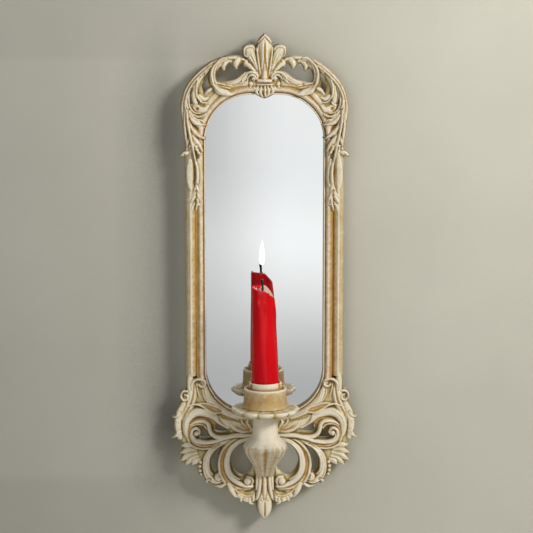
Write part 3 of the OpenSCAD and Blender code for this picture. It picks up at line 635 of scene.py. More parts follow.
def palmette():
    c = Carving(-24, 24, -6, 56, 13.4)
    c.body([(0, 49), (5, 45), (7, 41), (12, 42), (16.6, 41.2), (17.6, 37), (15.4, 32), (14.4, 27), (13.9, 20),
            (13.9, 8), (8, 5.5), (0, 3), (-8, 5.5), (-13.9, 8), (-13.9, 20), (-14.4, 27), (-15.4, 32), (-17.6, 37),
            (-16.6, 41.2), (-12, 42), (-7, 41), (-5, 45)])
    c.body([(-9.4, 7), (-9.2, 1.6), (-6, -1), (0, -3.4), (6, -1), (9.2, 1.6), (9.4, 7)])
    for s in (-1, 1):
        def f(*pts):
            return [(s * x, z) for x, z in pts]
        # Side leaf: a broad upper finger and a shorter lower one, ribbed from the root
        c.leaf(f((4.6, 17.5), (6.6, 24), (9.2, 30), (12, 35), (13.2, 38.2)), [3.6, 6.2, 8.8, 10.4, 10.2], 16.6,
               0.05)
        c.leaf(f((5, 16.6), (8.6, 21.6), (12.8, 25.2), (15.6, 26.8)), [3.2, 5.4, 6.2, 5], (15.4, 16.6, 16), 0.05)
        c.ridge(f((6.6, 20.8), (10.2, 25.4), (13.6, 29.2), (16, 30.6)), (0.9, 1.4, 0.8), (15.2, 15.2, 14.8), 0.8)
        c.ridge(f((6.2, 21), (8.2, 28), (10.4, 33.4), (12.4, 38.4)), (1, 1.8, 1.2), (16.6, 17.6, 17), 0, 0.4)
        c.ridge(f((7.2, 22), (10, 28), (13.4, 33), (15.8, 36.2)), (0.8, 1.6, 1.2), (16.4, 17.4, 16.8), 0.1, 0.4)
        c.ridge(f((6.8, 18.4), (10.4, 22.2), (14.4, 24.4)), (0.8, 1.4, 1), (16.2, 17, 16.4), 0, 0.4)
        c.leaf(f((8.4, 38.6), (9.4, 41.2), (13.2, 42.2), (17.2, 40.8), (17.8, 36.4), (16.2, 33)), (2.4, 3.4, 2),
               (15.8, 16.2, 15.8), 0.1, 0.05)
        c.ridge(f((14.2, 33.6), (16.6, 33.6), (18, 35.4)), (1, 1.6, 1), (16.6, 17.8, 17), 0, 0.4)
        # Small scroll at the foot
        c.ridge(f((18.6, 8.4), (19.4, 12.6), (17.4, 16.8), (13.6, 19.4), (9.6, 19.4), (6.4, 16.8), (6.6, 13.4)),
                (2, 3.2, 1.8), (15.2, 17, 16.4), 0.05)
        c.ridge(f((15, 11.4), (14.8, 14.6), (12.4, 17), (9.4, 16.8), (7.9, 14.6), (9.6, 12.6)), (1.6, 2.6, 1.4),
                (15.4, 17.2, 16.4), 0.05)
        c.bead(s * 9.8, 14.4, 1.5, 16.8, 0.2, 0.6)
        c.bead(s * 12.2, 9.4, 1.9, 15.6, 0.2, 0.6)
    # Middle leaf, pointed, with a gilt vein
    c.leaf([(0, 13.6), (0, 22.6), (0, 31), (0, 39), (0, 44.6), (0, 49.2), (0, 52.8)],
           [7, 10.2, 13.4, 15.8, 13.2, 8.4, 1], [16.4, 17, 17.4, 18, 18, 17.4, 16.6])
    c.leaf([(0, 14.6), (0, 24), (0, 34), (0, 42), (0, 48)], [5.6, 7, 8.4, 9.2, 6.4], [17.2, 18.4, 19.2, 19.2, 17.8],
           0, 0.7)
    for s in (-1, 1):
        c.ridge([(s * 5.8, 45.6), (s * 3.2, 48.8), (0, 51.8)], (1.8, 2.6, 1.4), (17.4, 18.6, 17.6), 2.4, 0.4)
        c.ridge([(s * 5, 40), (s * 4.6, 32), (s * 4, 24), (s * 3.2, 17)], (0.8, 1.3, 1.5), (17.2, 16.4, 15.8), 1,
                0.4)
        c.ridge([(s * 7, 41), (s * 6, 33), (s * 4.8, 25), (s * 3.9, 18)], (1.2, 1.8, 1.2), (17.4, 18, 17), 0, 0.3)
    c.ridge([(0, 47), (0, 38), (0, 30), (0, 22), (0, 14.6)], [1, 1.3, 1.8, 4.4, 6], [18.2, 17.8, 17.4, 17.2, 17],
            2.4)
    for s in (-1, 1):
        c.ridge([(s * 2.6, 7.4), (s * 3.6, 3.4), (s * 3.2, 0.4), (s * 1.4, -2.2)], (2, 3, 1.6), (15, 16.2, 15), 0.1)
        c.ridge([(s * 5.4, 7.4), (s * 7.2, 4.6), (s * 6.8, 1.6), (s * 4.6, -0.4)], (1.8, 3, 1.6), (14.8, 16, 15),
                0.1)
        c.bead(s * 9.2, 5.4, 1.6, 15.4, 0.2, 0.5)
        c.bead(s * 12.4, 6.6, 1.5, 15, 0.2, 0.5)
    c.ridge([(-5, 12.2), (0, 12.1), (5, 12.2)], 3.8, (16, 17.4, 16), 2.6)
    c.ridge([(-6.2, 8.9), (-3, 8.9), (0, 8.9), (3, 8.9), (6.2, 8.9)], 1.9, (15.4, 17, 15.4))
    c.ridge([(0.2, 7.4), (0.3, 4), (0.5, 1), (0.6, -1.6)], (2.2, 2.6, 1.8), (15.8, 16.8, 15.6), 2.2)
    return c


def shoulder():
    c = Carving(48, 80, -68, -12, 15.4)
    c.ridge([(69.6, -14), (69.6, -26), (68.6, -36), (67.9, -44), (68.2, -49)], (3, 4.4, 2.6), (17.2, 18.6, 17.2),
            0.5)
    c.ridge([(67, -50.2), (70.4, -51.6), (73.6, -53)], (4.4, 5, 2.6), (17, 18.2, 16.6), 0.1)
    c.bead(70.2, -52.4, 1, 17.6, 0.8, 0.7)
    c.vein([(67.4, -14), (66.6, -26), (65, -35), (64.4, -42), (65.2, -48)], (3, 4.8, 2), (17.4, 19.2, 17.6), 0.35)
    c.fold([(65.6, -18), (61, -23.6), (56, -25.6), (50.6, -26.4)], (4, 5.4, 1.6), (18.2, 18.8, 16.8), 1)
    c.fold([(66.4, -25), (61.8, -31.6), (57.2, -35.4), (52.2, -38.9)], (4, 6, 1.8), (18.4, 19.2, 17), 1)
    c.fold([(66, -32), (61.4, -38.6), (57.4, -43.6), (54.6, -49.4)], (4, 6.2, 2.4), (18.4, 19.6, 17.2), 0.1)
    c.vein([(65.6, -37), (62, -43), (58.8, -48.4), (56.6, -53)], (3.6, 5, 2.2), (18.6, 19.6, 17.4), 0.5)
    c.fold([(66.2, -36), (66.8, -41), (68.6, -45.6)], (3, 4, 1.6), (18, 18.8, 17.2), 0.4)
    c.ridge([(68.2, -12), (67.2, -24), (65.2, -35), (63.4, -44), (61.6, -53), (60.2, -61)], (2, 3, 2),
            (18.4, 20.4, 17.4))
    for x, z, r in ((59.7, -45.0, 1.5), (57.9, -50.6, 1.3), (65.6, -44.6, 1.3)):
        c.bead(x, z, r, 19.4, 0.6, 0.6)
    return c


def husk():
    c = Carving(52, 74, -108, -56, 14.4)
    c.leaf([(65.2, -56), (65.6, -64), (65.8, -72), (65.4, -79), (64.2, -85)], [5.4, 7.4, 7.6, 6.2, 2.6], 16.5, 0.1)
    c.leaf([(58.2, -56), (57.6, -64), (57.2, -72), (57.4, -79), (58.2, -84)], [4, 6.6, 7.2, 6, 2.2], 15.7, 0.1)
    c.ridge([(60.6, -58), (59.4, -64), (59, -71), (59.7, -78), (61.4, -84), (64.6, -89), (69, -92.4)],
            (2.4, 3.4, 1.6), (17, 18, 16.2))
    c.vein([(60, -79), (58.4, -86), (58.8, -94), (60.8, -102)], (2.8, 4.8, 1.8), (16.6, 17.6, 15.8), 0.2)
    c.vein([(60.8, -85), (63.2, -91.6), (66.8, -97)], (3, 5, 2), (16.6, 17.4, 15.8), 0.3)
    c.fold([(59.4, -85), (57, -90.6), (55.4, -95)], (2.4, 4, 1.8), (16.4, 17, 15.6), 0.6)
    c.fold([(61, -94), (63.6, -99), (64, -103.6)], (2.4, 3.8, 1.8), (16.2, 16.8, 15.6), 0.3)
    for x, z, r in ((61.4, -89.6, 1.3), (57.6, -96.6, 1.2), (62.0, -96.4, 1.1)):
        c.bead(x, z, r, 17.4, 0.6, 0.6)
    return c


SHOULDER_BACK, HUSK_BACK = 12.5, 13.0
crest, crest_keep = crest_side()
crest.pair("crest_leaf", BACK, HEAD_Z, crest_keep)
top_leaf = palmette()
top_leaf.finish("crest_palmette_carved", "crest_palmette", BACK, HEAD_Z, off_mirror(top_leaf, 1, -6))
shoulder().pair("shoulder_leaf", SHOULDER_BACK, HEAD_Z)
husk().pair("rail_husk", HUSK_BACK, HEAD_Z)


# ---- Apron: heights are from the bottom edge of the mirror ----

def apron_side():
    c = Carving(8, 87, -99, 44, 13.4)
    c.body([(50.9, 26.3), (52.4, 29.6), (57.3, 31.6), (61.8, 30.4), (63.6, 35.6), (66.3, 40.4), (68.9, 34),
            (69.6, 24), (73.6, 19), (74.6, 12), (75.4, 7.4), (78, -3), (80.4, -8), (79.3, -15), (80.6, -22),
            (76.3, -22.7), (72.6, -29.8), (74, -36.4), (74.8, -42.4), (72.2, -46.4), (65.7, -43.8), (60.6, -46),
            (59.6, -56), (55.5, -57.4), (51.7, -62.2), (44.1, -66.4), (33.1, -67.3), (28.6, -73.2), (24.6, -75.5),
            (21.2, -80.5), (15.3, -81.4), (8.9, -82), (8.9, -60), (8.9, -30), (8.9, -9), (20, -3), (33.9, 3.1),
            (40.7, 7.4), (47.5, 16)])
    c.pierce([(53.7, -14.8), (57, -12.2), (59.4, -12.6), (58, -16.6), (58.8, -20.4), (57.4, -22.7), (47.4, -22.6),
              (50.6, -19.4), (51.4, -16)])
    c.pierce([(31.6, -16.6), (37.4, -13), (44.6, -9.9), (45.8, -13.6), (43.8, -16.6), (37.4, -17.6)])
    c.pierce([(34.2, -27.2), (40, -29.8), (45.6, -36.6), (48.4, -43), (47.6, -50.4), (44.8, -54.4), (42.6, -53.4),
              (42, -46), (40.2, -38.6), (36.6, -31.6)])
    c.pierce([(18.8, -25.6), (25.6, -29.2), (29.8, -35.8), (30.4, -44.8), (26.8, -53.2), (20.4, -57.9),
              (14.2, -54.4), (11, -50), (10.6, -36), (15, -27)])
    c.pierce([(7.8, -65.8), (11.4, -70.4), (18.6, -72.8), (14.6, -73.2), (9.6, -70)])
    # Broad quiet forms: the body under the rail, the outer wing and the fan
    c.leaf([(66, 38), (66.4, 30), (65, 20), (67, 10), (70, 2), (70, -8), (67, -16)], (4, 10, 6), (15.4, 15.8, 15),
           0.05)
    c.leaf([(76, -22), (77.4, -14), (77.6, -7), (75.6, 2), (72.6, 9), (70.4, 15)], (5, 7, 4), (14.8, 15.4, 14.8))
    c.ridge([(69.6, -20), (71.4, -8.4), (71.7, -1), (68.2, 5.4), (65.2, 11.8), (63.4, 20), (62.8, 28)],
            (0.9, 1.3, 0.9), (14.4, 14.7, 14.4), 0.9)
    c.fold([(75.6, 1), (77.4, -1.4), (80.2, -3.2), (82.4, -3.4)], (3.4, 3.4, 1), (15.2, 15.4, 14.2), 0.1)
    c.ridge([(77.4, -8), (78.9, -5.6), (80.8, -5.6)], (1, 1.3, 0.8), (15.8, 16.2, 15.2), 0.6, 0.4)
    c.fold([(75.8, -16), (78.6, -19.4), (83, -22.6)], (4, 3.8, 1), (15.2, 15.6, 14.2), 0.1)
    c.ridge([(76.8, -14.4), (78.6, -17.4), (80.6, -18.8)], (1, 1.4, 0.8), (15.8, 16.2, 15.2), 0.5, 0.4)
    for tip, base, g in (((74.8, -29.4), (62.6, -31.0), 0.0), ((76.0, -36.4), (62.2, -33.2), 0.15),
                         ((75.8, -43.4), (61.4, -36.0), 0.0), ((71.4, -47.6), (60.6, -39.4), 0.15),
                         ((65.0, -47.6), (59.2, -42.4), 0.0)):
        mid = (0.5 * (tip[0] + base[0]) + 0.6, 0.5 * (tip[1] + base[1]) + 1.0)
        c.leaf([base, mid, tip], (4, 6.4, 1.4), (14.8, 15.6, 14.6), g)
        c.ridge([base, (mid[0], mid[1] + 0.8), tip], (0.9, 1.3, 0.7), (15.4, 16.4, 15), 0.05, 0.4)
    # Moulded rim beside the mirror and the curl that ends the inner band
    c.leaf([(52.6, 26), (51.8, 18), (47.4, 9.6), (40.4, 3.6), (33, -0.4), (24, -4)], (3.4, 4.6, 3.4),
           (14.8, 15.4, 14.8), 0.15)
    c.ridge([(55.4, 24.6), (54.2, 16.4), (49.4, 8.8), (43.4, 4)], (1, 1.3, 1), (15, 15.6, 15), 0.7)
    c.ridge([(50.9, 22), (48.4, 13.6), (42.4, 6.8), (34.6, 2.2), (26, -1.6), (17, -4.4)], (1.4, 1.8, 1.4),
            (15.2, 16, 15.4), 0.1)
    c.ridge([(64.6, 22), (64.9, 27), (62.2, 30.6), (57.4, 31.6), (53.2, 29.8), (53.2, 26.6), (56.4, 24.8),
             (58.6, 26.4)], (2, 3, 1.8), (15.6, 17.2, 16.4), 0.05)
    c.ridge([(60.6, 27.4), (59.6, 21), (57.8, 15)], (1, 1.4, 0.8), (15.4, 15.8, 15), 0.7)
    # Turned-over leaf at the shoulder, dark in its fold
    c.leaf([(58.4, 8), (52, 7), (45.6, 4.8), (39.8, 2.2)], (1.6, 6, 2.2), (14.2, 14.4, 14), 1)
    c.ridge([(69.6, 6.4), (63.6, 8.8), (57.4, 7.8), (50.6, 3.6), (44.8, 0.9), (39.2, 1)], (1.2, 2, 1.2),
            (15.6, 17, 15.8), 0.35)
    c.ridge([(58.6, 9.4), (52, 9.2), (45.6, 7.2), (40, 4.8)], (1, 1.5, 1), (15.2, 16, 15.2), 0.2)
    # Big leaf that rolls over and down round the volute
    c.leaf([(67, -24), (70.2, -17), (70.4, -9), (67, -2), (60.6, 1.6), (53, 1), (45.6, -2.4), (39.6, -7.6),
            (33, -13)], (3, 8.4, 2.4), (15.2, 17, 15))
    c.ridge([(69.4, -21), (71.4, -12), (70.2, -5), (65.6, 1.4), (58.4, 4.2), (51, 2.6), (44.4, -1.2)], (1, 1.6, 1),
            (16, 17.6, 16), 0.05)
    c.ridge([(45, -13.4), (44.8, -8.6), (48.2, -5.4), (53.4, -4.4), (60.4, -5.4), (66.6, -8.2)], (1.2, 2.2, 1.2),
            (14.2, 14.2, 14.2), 1)
    # Stem between the two small openings, and the gold channel that runs with it
    c.leaf([(66, -10.4), (60.6, -7.2), (54.2, -6.8), (50.4, -9.6), (49.4, -14.4), (47.2, -18.6), (42.6, -21.2),
            (35, -21.4), (26, -19.8), (17, -18.8), (9, -18.4)], (3, 4.6, 4), (16, 17.2, 16.4))
    c.ridge([(52, -14), (54.4, -10.4), (60.4, -9.4), (65.8, -11.8), (67.4, -17.5), (65.2, -24.6), (58, -29),
             (47.6, -28.8), (38.2, -24.4), (29.3, -21.6), (20, -21.4)], (1.8, 2.6, 1.6), (15, 15.4, 15), 1)
    c.ridge([(69.4, -22), (65.6, -28.6), (58, -31.8), (48, -31.2), (40, -27.4), (31, -23.6)], (1.2, 2, 1.2),
            (15.2, 16.4, 15.4), 0.1)
    c.leaf([(61.6, -19.6), (58.6, -18.4), (58.4, -15.4), (61.2, -13.2), (64.6, -15), (65.2, -20.2), (61.8, -24.8),
            (54, -26.2), (44.6, -24.9), (37, -22.6), (28, -20.4), (18, -20.2), (9, -20.6)], (2.4, 4, 3),
           (16.6, 18, 16.8))
    c.ridge([(62.4, -16), (63.4, -19.8), (60.4, -23.4), (53.6, -24.8), (45, -23.6)], (0.8, 1.3, 0.8),
            (17, 18.4, 17), 0.05, 0.4)
    c.bead(60.9, -17.6, 2.3, 18.6, 0.1, 0.7)
    # Second turn: outer C with a ball in its eye
    c.leaf([(30, -24.6), (37.6, -26.8), (45.4, -31.4), (50.6, -38.4), (52.4, -46.4), (51, -54.4), (47, -60.2),
            (41.6, -62)], (4, 6.4, 4), (15.2, 16.8, 15.6))
    c.ridge([(40, -27.4), (48.4, -31.8), (53.2, -38.6), (54.8, -46.8), (53.4, -56.4), (48.8, -61.8), (42.8, -63.8),
             (38, -61.4)], (1.2, 2, 1.2), (15.6, 16.6, 15.8), 0.75)
    c.ridge([(36, -27.2), (42.6, -30.2), (48, -36.4), (50.2, -43.4), (49.6, -51), (46.6, -55.8)], (1.2, 1.8, 1.2),
            (16.6, 17.8, 16.6))
    c.bead(41.4, -58, 3.7, 18.6, 0.45)
    c.bead(41.4, -58, 1.5, 18.8, 0.2)
    # Band between the two big openings
    c.leaf([(27, -23.6), (33.6, -28.6), (38.2, -35.8), (40.2, -44), (40, -52), (37.4, -59.6), (32, -66.4),
            (26, -70)], (3.4, 4.6, 3), (15, 16.2, 15), 0.2)
    c.ridge([(29.5, -27.4), (35.4, -34.4), (38, -42.6), (37.6, -51.4), (35, -59), (29.6, -65.4), (22.4, -69),
             (13, -69.4)], (1.6, 3.2, 1.6), (14.6, 14.8, 14.6), 1)
    c.ridge([(24, -22.8), (31.6, -27.2), (38.6, -35.4), (41.4, -44.2), (41.2, -52)], (1, 1.6, 1), (16, 17, 16),
            0.05)
    # Ring scroll with a ball in its eye
    c.leaf([(14, -22.6), (22.6, -25.6), (29.4, -31.6), (33.2, -40), (33.8, -48.8), (31, -56.8), (25.2, -62.6),
            (18, -66.2), (11.6, -66.8)], (4, 6.2, 3.6), (15.6, 17.2, 15.8))
    c.ridge([(16, -24.4), (23.4, -27.2), (29.4, -33.4), (31.8, -41), (31.6, -49.6), (28.4, -56.2), (22.4, -60.6)],
            (1.2, 1.9, 1.2), (16.6, 18.2, 16.8))
    c.ridge([(12, -65.4), (10.6, -61.6), (12.8, -58.4), (16.6, -58.2)], (2, 2.6, 1.4), (16.2, 17, 16), 0.05)
    c.bead(15.4, -62, 3.3, 18.4, 0.5)
    c.bead(15.4, -62, 1.3, 18.8, 0.2)
    for x, z, r in ((57.4, -44.6, 1.5), (58.2, -48.4, 1.5), (58.0, -52.4, 1.4), (57.0, -56.0, 1.3)):
        c.bead(x, z, r, 15.8, 0.3)
    # Bottom leaves
    c.leaf([(49.4, -60.2), (52.2, -62.2), (50, -64.6)], (3, 3.2, 1), (15, 15.4, 14.4), 0.2)
    c.leaf([(35.2, -64.6), (39.2, -67.2), (44.8, -66.6)], (3, 3.4, 1.4), (15, 15.6, 14.6), 0.1)
    c.leaf([(32, -65), (29.8, -70.6), (26.6, -75.6), (23.8, -77.6)], (5, 5.4, 2), (15, 15.8, 14.6), 0.1)
    c.leaf([(8, -62), (5, -70.8), (8.4, -77.2), (14.6, -79.8), (21.4, -77.8), (25.4, -75)], (4, 6.4, 2),
           (15.4, 16.6, 15))
    c.ridge([(5.4, -64), (4.8, -71.6), (8.8, -76.2), (14.8, -78.2), (22, -75.6), (24.6, -74.2)], (1.2, 1.9, 1),
            (16.2, 17.4, 16))
    c.ridge([(10, -75), (16, -76.2), (22.8, -73.6), (26, -70.6)], (1.2, 2.2, 1.2), (14.6, 14.8, 14.6), 0.9)
    c.leaf([(13, -78.6), (13.2, -82), (9.6, -84.2)], (4, 4, 1.2), (15.2, 15.6, 14.4), 0.1)
    c.leaf([(20.4, -77), (21.6, -80), (19.4, -81.8)], (3.4, 3.2, 1), (15.2, 15.6, 14.4), 0.1)
    c.ridge([(4.5, -53), (6.4, -60), (7.4, -68), (7.2, -76)], (3, 3.4, 1.4), (15.6, 16.4, 15.2), 0.4)
    # Palmette fan beside the bracket
    c.leaf([(9, -16), (18, -13.6), (27, -10.8), (34, -8.4), (38.6, -5.4), (40.4, -2.4)], (6, 8.6, 2),
           (14.4, 15.2, 14.4), 0.1)
    for pts in ([(12.8, -16.4), (20, -16.2), (26.4, -14.2), (30.2, -9.6), (31.6, -6.6)],
                [(12.4, -16), (18, -14.2), (23.6, -11.6), (26.4, -7.4)],
                [(12, -16), (16.4, -12.4), (19.8, -9.2), (20.6, -5.2)],
                [(11.6, -15.4), (14, -11.6), (15.6, -8.4), (14.8, -5.2)]):
        c.leaf(pts, (2, 3.4, 1.2), (15.2, 16.2, 15.2), 0.05)
    for pts in ([(14, -15.6), (20.6, -13.8), (25.4, -11)], [(13.6, -15.2), (18, -12), (20.8, -8.6)],
                [(13, -14.6), (15.6, -11.2), (17.4, -7.4)]):
        c.ridge(pts, (0.9, 1.4, 0.8), (14.6, 14.8, 14.6), 1, 0.4)
    c.ridge([(68.6, 20.8), (73, 20.2), (74.8, 16.4), (72.6, 12.8), (69.2, 13.4), (68.8, 16.6), (71.4, 17.4)],
            (2, 2.6, 1.6), (15.4, 17, 16.2), 0.1)
    return c, np.minimum(c.X - 8.8, off_mirror(c, -1, 1.6))


def pendant():
    c = Carving(-13, 13, -99, -8, 13.2)
    c.body([(9.4, -10), (9.4, -50), (9.4, -74), (8.2, -80), (7.3, -86), (6.2, -91), (3, -94.6), (0, -96.4),
            (-3, -94.6), (-6.2, -91), (-7.3, -86), (-8.2, -80), (-9.4, -74), (-9.4, -50), (-9.4, -10)])
    c.leaf([(0, -74), (0, -79), (0, -83), (0, -87), (0, -91), (0, -94), (0, -97)],
           [8.6, 12.6, 13.8, 14.2, 12.4, 8.6, 1.4], [15.6, 16.4, 16.8, 17, 16.6, 16, 15.2])
    c.ridge([(0, -80), (0, -86), (0, -91), (0, -95)], (0.8, 1.3, 0.8), (16.4, 16, 15.2), 0.3, 0.3)
    for s in (-1, 1):
        c.fold([(s * 3.4, -52), (s * 4.3, -62), (s * 5, -70), (s * 6.4, -76.4), (s * 8, -79.6)], (2.6, 4.2, 2.4),
               (15.6, 17.2, 15.6))
        c.ridge([(s * 6.4, -52), (s * 6.9, -62), (s * 7.6, -70)], (1.8, 2.8, 1.4), (15, 16, 15), 0.1)
        c.bead(s * 2.4, -79, 1.3, 16.6, 0.4)
    c.ridge([(0, -50), (0, -58), (0, -66), (0, -72), (0, -78)], [3.2, 4.2, 4.8, 4.4, 2], [16.6, 17, 17, 16.8, 16.2],
            2)
    return c


apron, apron_keep = apron_side()
apron.pair("apron_scroll", BACK, FOOT_Z, apron_keep)
pendant().finish("apron_pendant_carved", "apron_pendant", BACK, FOOT_Z)


# ---- Mouldings: a section swept along the mirror's edge or up a rail by one node group ----

def sweep_group():
    tree = bpy.data.node_groups.new("moulding_sweep", "GeometryNodeTree")
    side = tree.interface
    side.new_socket("Section", in_out="INPUT", socket_type="NodeSocketGeometry")
    for name, kind in (("Width", "Float"), ("Height", "Float"), ("Corner Radius", "Float"), ("Straight", "Bool"),
                       ("Place", "Vector"), ("Material", "Material")):
        side.new_socket(name, in_out="INPUT", socket_type="NodeSocket" + kind)
    side.new_socket("Moulding", in_out="OUTPUT", socket_type="NodeSocketGeometry")
    into, out = tree.nodes.new("NodeGroupInput").outputs, tree.nodes.new("NodeGroupOutput")

    def made(kind, sockets, **settings):
        return add_node(tree, kind, sockets, **settings).outputs[0]

    section = made("GeometryNodeMeshToCurve", {0: into["Section"]})
    loop = made("GeometryNodeCurvePrimitiveQuadrilateral", {"Width": into["Width"], "Height": into["Height"]})
    turn = made("GeometryNodeFilletCurve", {"Curve": loop, "Radius": into["Corner Radius"], "Count": 40}, mode="POLY")
    end = made("ShaderNodeCombineXYZ", {1: into["Height"]})
    rail = made("GeometryNodeCurvePrimitiveLine", {"End": end})
    cuts = made("GeometryNodeResampleCurve", {"Curve": rail, "Count": 90})
    pick = made("GeometryNodeSwitch", {0: into["Straight"], 1: turn, 2: cuts}, input_type="GEOMETRY")
    swept = made("GeometryNodeCurveToMesh", {"Curve": pick, "Profile Curve": section, "Fill Caps": True})
    stood = made("GeometryNodeTransform", {"Geometry": swept, "Translation": into["Place"],
                                           "Rotation": (-math.pi / 2, 0, 0)})
    real = made("GeometryNodeRealizeInstances", {0: stood})
    paint = made("GeometryNodeSetMaterial", {"Geometry": real, "Material": into["Material"]})
    tree.links.new(paint, out.inputs[0])
    return tree


def moulding(name, section, **inputs):
    """Sweeps a closed section (rows of across, height over the back, wash and gilt) into a plain mesh."""
    rows = np.asarray(section, float)
    me = bpy.data.meshes.new(name)
    loop = [(i, (i + 1) % len(rows)) for i in range(len(rows))]
    me.from_pydata([(x * MM, h * MM, 0) for x, h in rows[:, :2]], loop, [])
    point_values(me, "wash", rows[:, 2])
    point_values(me, "gilt", rows[:, 3])
    obj = in_scene(name, me)
    mod = obj.modifiers.new("grow", "NODES")
    mod.node_group = SWEEP
    ids = {s.name: s.identifier for s in SWEEP.interface.items_tree if s.in_out == "INPUT"}
    for key, value in inputs.items():
        mod[ids[key.replace("_", " ")]] = value
    mod[ids["Material"]] = LOOK["carving"]
    obj.data = bpy.data.meshes.new_from_object(obj.evaluated_get(bpy.context.evaluated_depsgraph_get()))
    obj.modifiers.clear()
    bpy.data.meshes.remove(me)
    return obj


SWEEP = sweep_group()

# Inner moulding: a bright bead at the glass, a thin groove, then a round band
inner_section = [
    (0.0, 5.5, 0.7, 0), (0.0, 11.6, 0.6, 0), (0.15, 12.4, 0.3, 0), (0.5, 12.9, 0.12, 0), (0.9, 12.9, 0.12, 0),
    (1.25, 12.4, 0.4, 0.2), (1.5, 11.5, 0.85, 0.6), (1.75, 11.4, 0.9, 0.7), (2.05, 12.1, 0.55, 0.8),
    (2.6, 13.3, 0.35, 0.7), (3.4, 14.2, 0.3, 0.55), (4.3, 14.6, 0.28, 0.45), (5.2, 14.4, 0.34, 0.55),
    (6.0, 13.8, 0.42, 0.75), (6.7, 13.1, 0.5, 0.9), (7.2, 12.8, 0.56, 0.8), (7.7, 12.6, 0.62, 0.7),
    (8.2, 12.6, 0.62, 0.7), (8.5, 12.8, 0.6, 0.6), (8.5, 5.5, 0.7, 0),
]
inner = moulding("inner_moulding", inner_section, Width=0.104, Height=0.285, Corner_Radius=0.040, Straight=False,
                 Place=(0, 0, MIRROR_Z * MM))
smoothed(inner.data, 60)
settled(inner, "surround_moulding")

# Outer moulding, from the groove outwards
RAIL_X = 60.8      # mm, the groove between inner and outer moulding
RAIL_TOP = 100     # mm above the mirror's middle
outer_section = [
    (0.0, 5.5, 0.8, 0), (0.0, 12.8, 0.6, 0.7), (0.25, 13.3, 0.56, 0.9), (0.8, 13.9, 0.5, 1.0),
    (1.5, 14.5, 0.42, 0.95),
    (2.3, 14.9, 0.4, 0.7), (3.1, 15.2, 0.4, 0.4), (3.7, 15.7, 0.3, 0.1), (4.3, 15.95, 0.24, 0.0),
    (4.9, 15.7, 0.32, 0.0),
    (5.6, 15.3, 0.47, 0.3), (6.4, 15.05, 0.46, 0.2), (7.3, 14.6, 0.45, 0.15), (8.1, 13.7, 0.46, 0.25),
    (8.8, 12.2, 0.42, 0.4), (9.2, 10.0, 0.55, 0.5), (9.2, 5.5, 0.6, 0),
]
for side, name in ((1, "right_stile_moulding"), (-1, "left_stile_moulding")):
    rail = moulding(name + "_run", outer_section, Width=0.1, Height=0.208, Corner_Radius=0.01, Straight=True,
                    Place=(0, 0, 0))
    co = np.zeros(len(rail.data.vertices) * 3)
    rail.data.vertices.foreach_get("co", co)
    co = co.reshape(-1, 3) / MM
    way = 1 if co[:, 0].max() > 1 else -1
    co[:, 0] = side * (RAIL_X + way * co[:, 0])
    co[:, 2] += MIRROR_Z + RAIL_TOP - co[:, 2].max()
    sway = 0.12 * np.sin(co[:, 2] * 0.21 + side) + 0.08 * np.sin(co[:, 2] * 0.57)
    co[:, 1] += sway * (co[:, 1] < -11)
    rail.data.vertices.foreach_set("co", (co * MM).ravel())
    if side != way:
        rail.data.flip_normals()
    rail.data.update()
    smoothed(rail.data, 60)
    settled(rail, name)


# ---- Bracket, pan and socket ----

def faced(verts, groups):
    """The faces turned to look outwards, told by their signed volume."""
    total = 0.0
    for g in groups:
        a = verts[g[:, 0]]
        for k in range(1, g.shape[1] - 1):
            total += np.einsum("ij,ij->i", a, np.cross(verts[g[:, k]], verts[g[:, k + 1]])).sum()
    return [g[:, ::-1] for g in groups] if total < 0 else groups


def ring(x, r, theta, z):
    """A ring about the candle's axis, its middle x mm to the right."""
    return np.column_stack([x + r * np.sin(theta), AXIS_Y - r * np.cos(theta), np.full_like(theta, z)])


def loft(rings, capped=True):
    """Outward faces through a stack of equal rings, capped with fans or closed into a tube; verts and faces."""
    rings = np.asarray(rings, float)
    m, k, _ = rings.shape
    verts = rings.reshape(-1, 3)
    i = np.arange(k)
    j = (i + 1) % k
    quads = [np.column_stack([r * k + i, r * k + j, (r + 1) * k + j, (r + 1) * k + i]) for r in range(m - 1)]
    groups = [np.vstack(quads)]
    end = (m - 1) * k
    if capped:
        verts = np.vstack([verts, verts[:k].mean(0), verts[-k:].mean(0)])
        n = len(verts)
        groups.append(np.vstack([np.column_stack([j, i, np.full(k, n - 2)]),
                                 np.column_stack([end + i, end + j, np.full(k, n - 1)])]))
    else:
        groups.append(np.column_stack([end + i, end + j, j, i]))
    return verts, faced(verts, groups)


BRACKET_FRONT = 60.3    # mm, the deepest the bracket may reach
BRACKET = np.array([    # height, half width, front and rear depth
    (-199.4, 6.8, 18.4, 16), (-197.6, 8.0, 21.0, 16), (-193, 8.8, 26.5, 16), (-187, 10.4, 34.5, 16),
    (-180.5, 14.0, 42.5, 16), (-175, 17.3, 49, 16), (-171, 18.5, 53.5, 17), (-167.5, 18.8, 57, 19.5),
    (-163.5, 18.2, 59.4, 22.5), (-159.5, 14.6, 60.1, 25), (-156, 11.7, 59.9, 27.5), (-152, 11.2, 59.0, 30.5),
    (-147, 11.0, 58.2, 33.3), (-141, 11.0, 57.8, 35.4), (-136.6, 11.1, 57.8, 36.2),
])


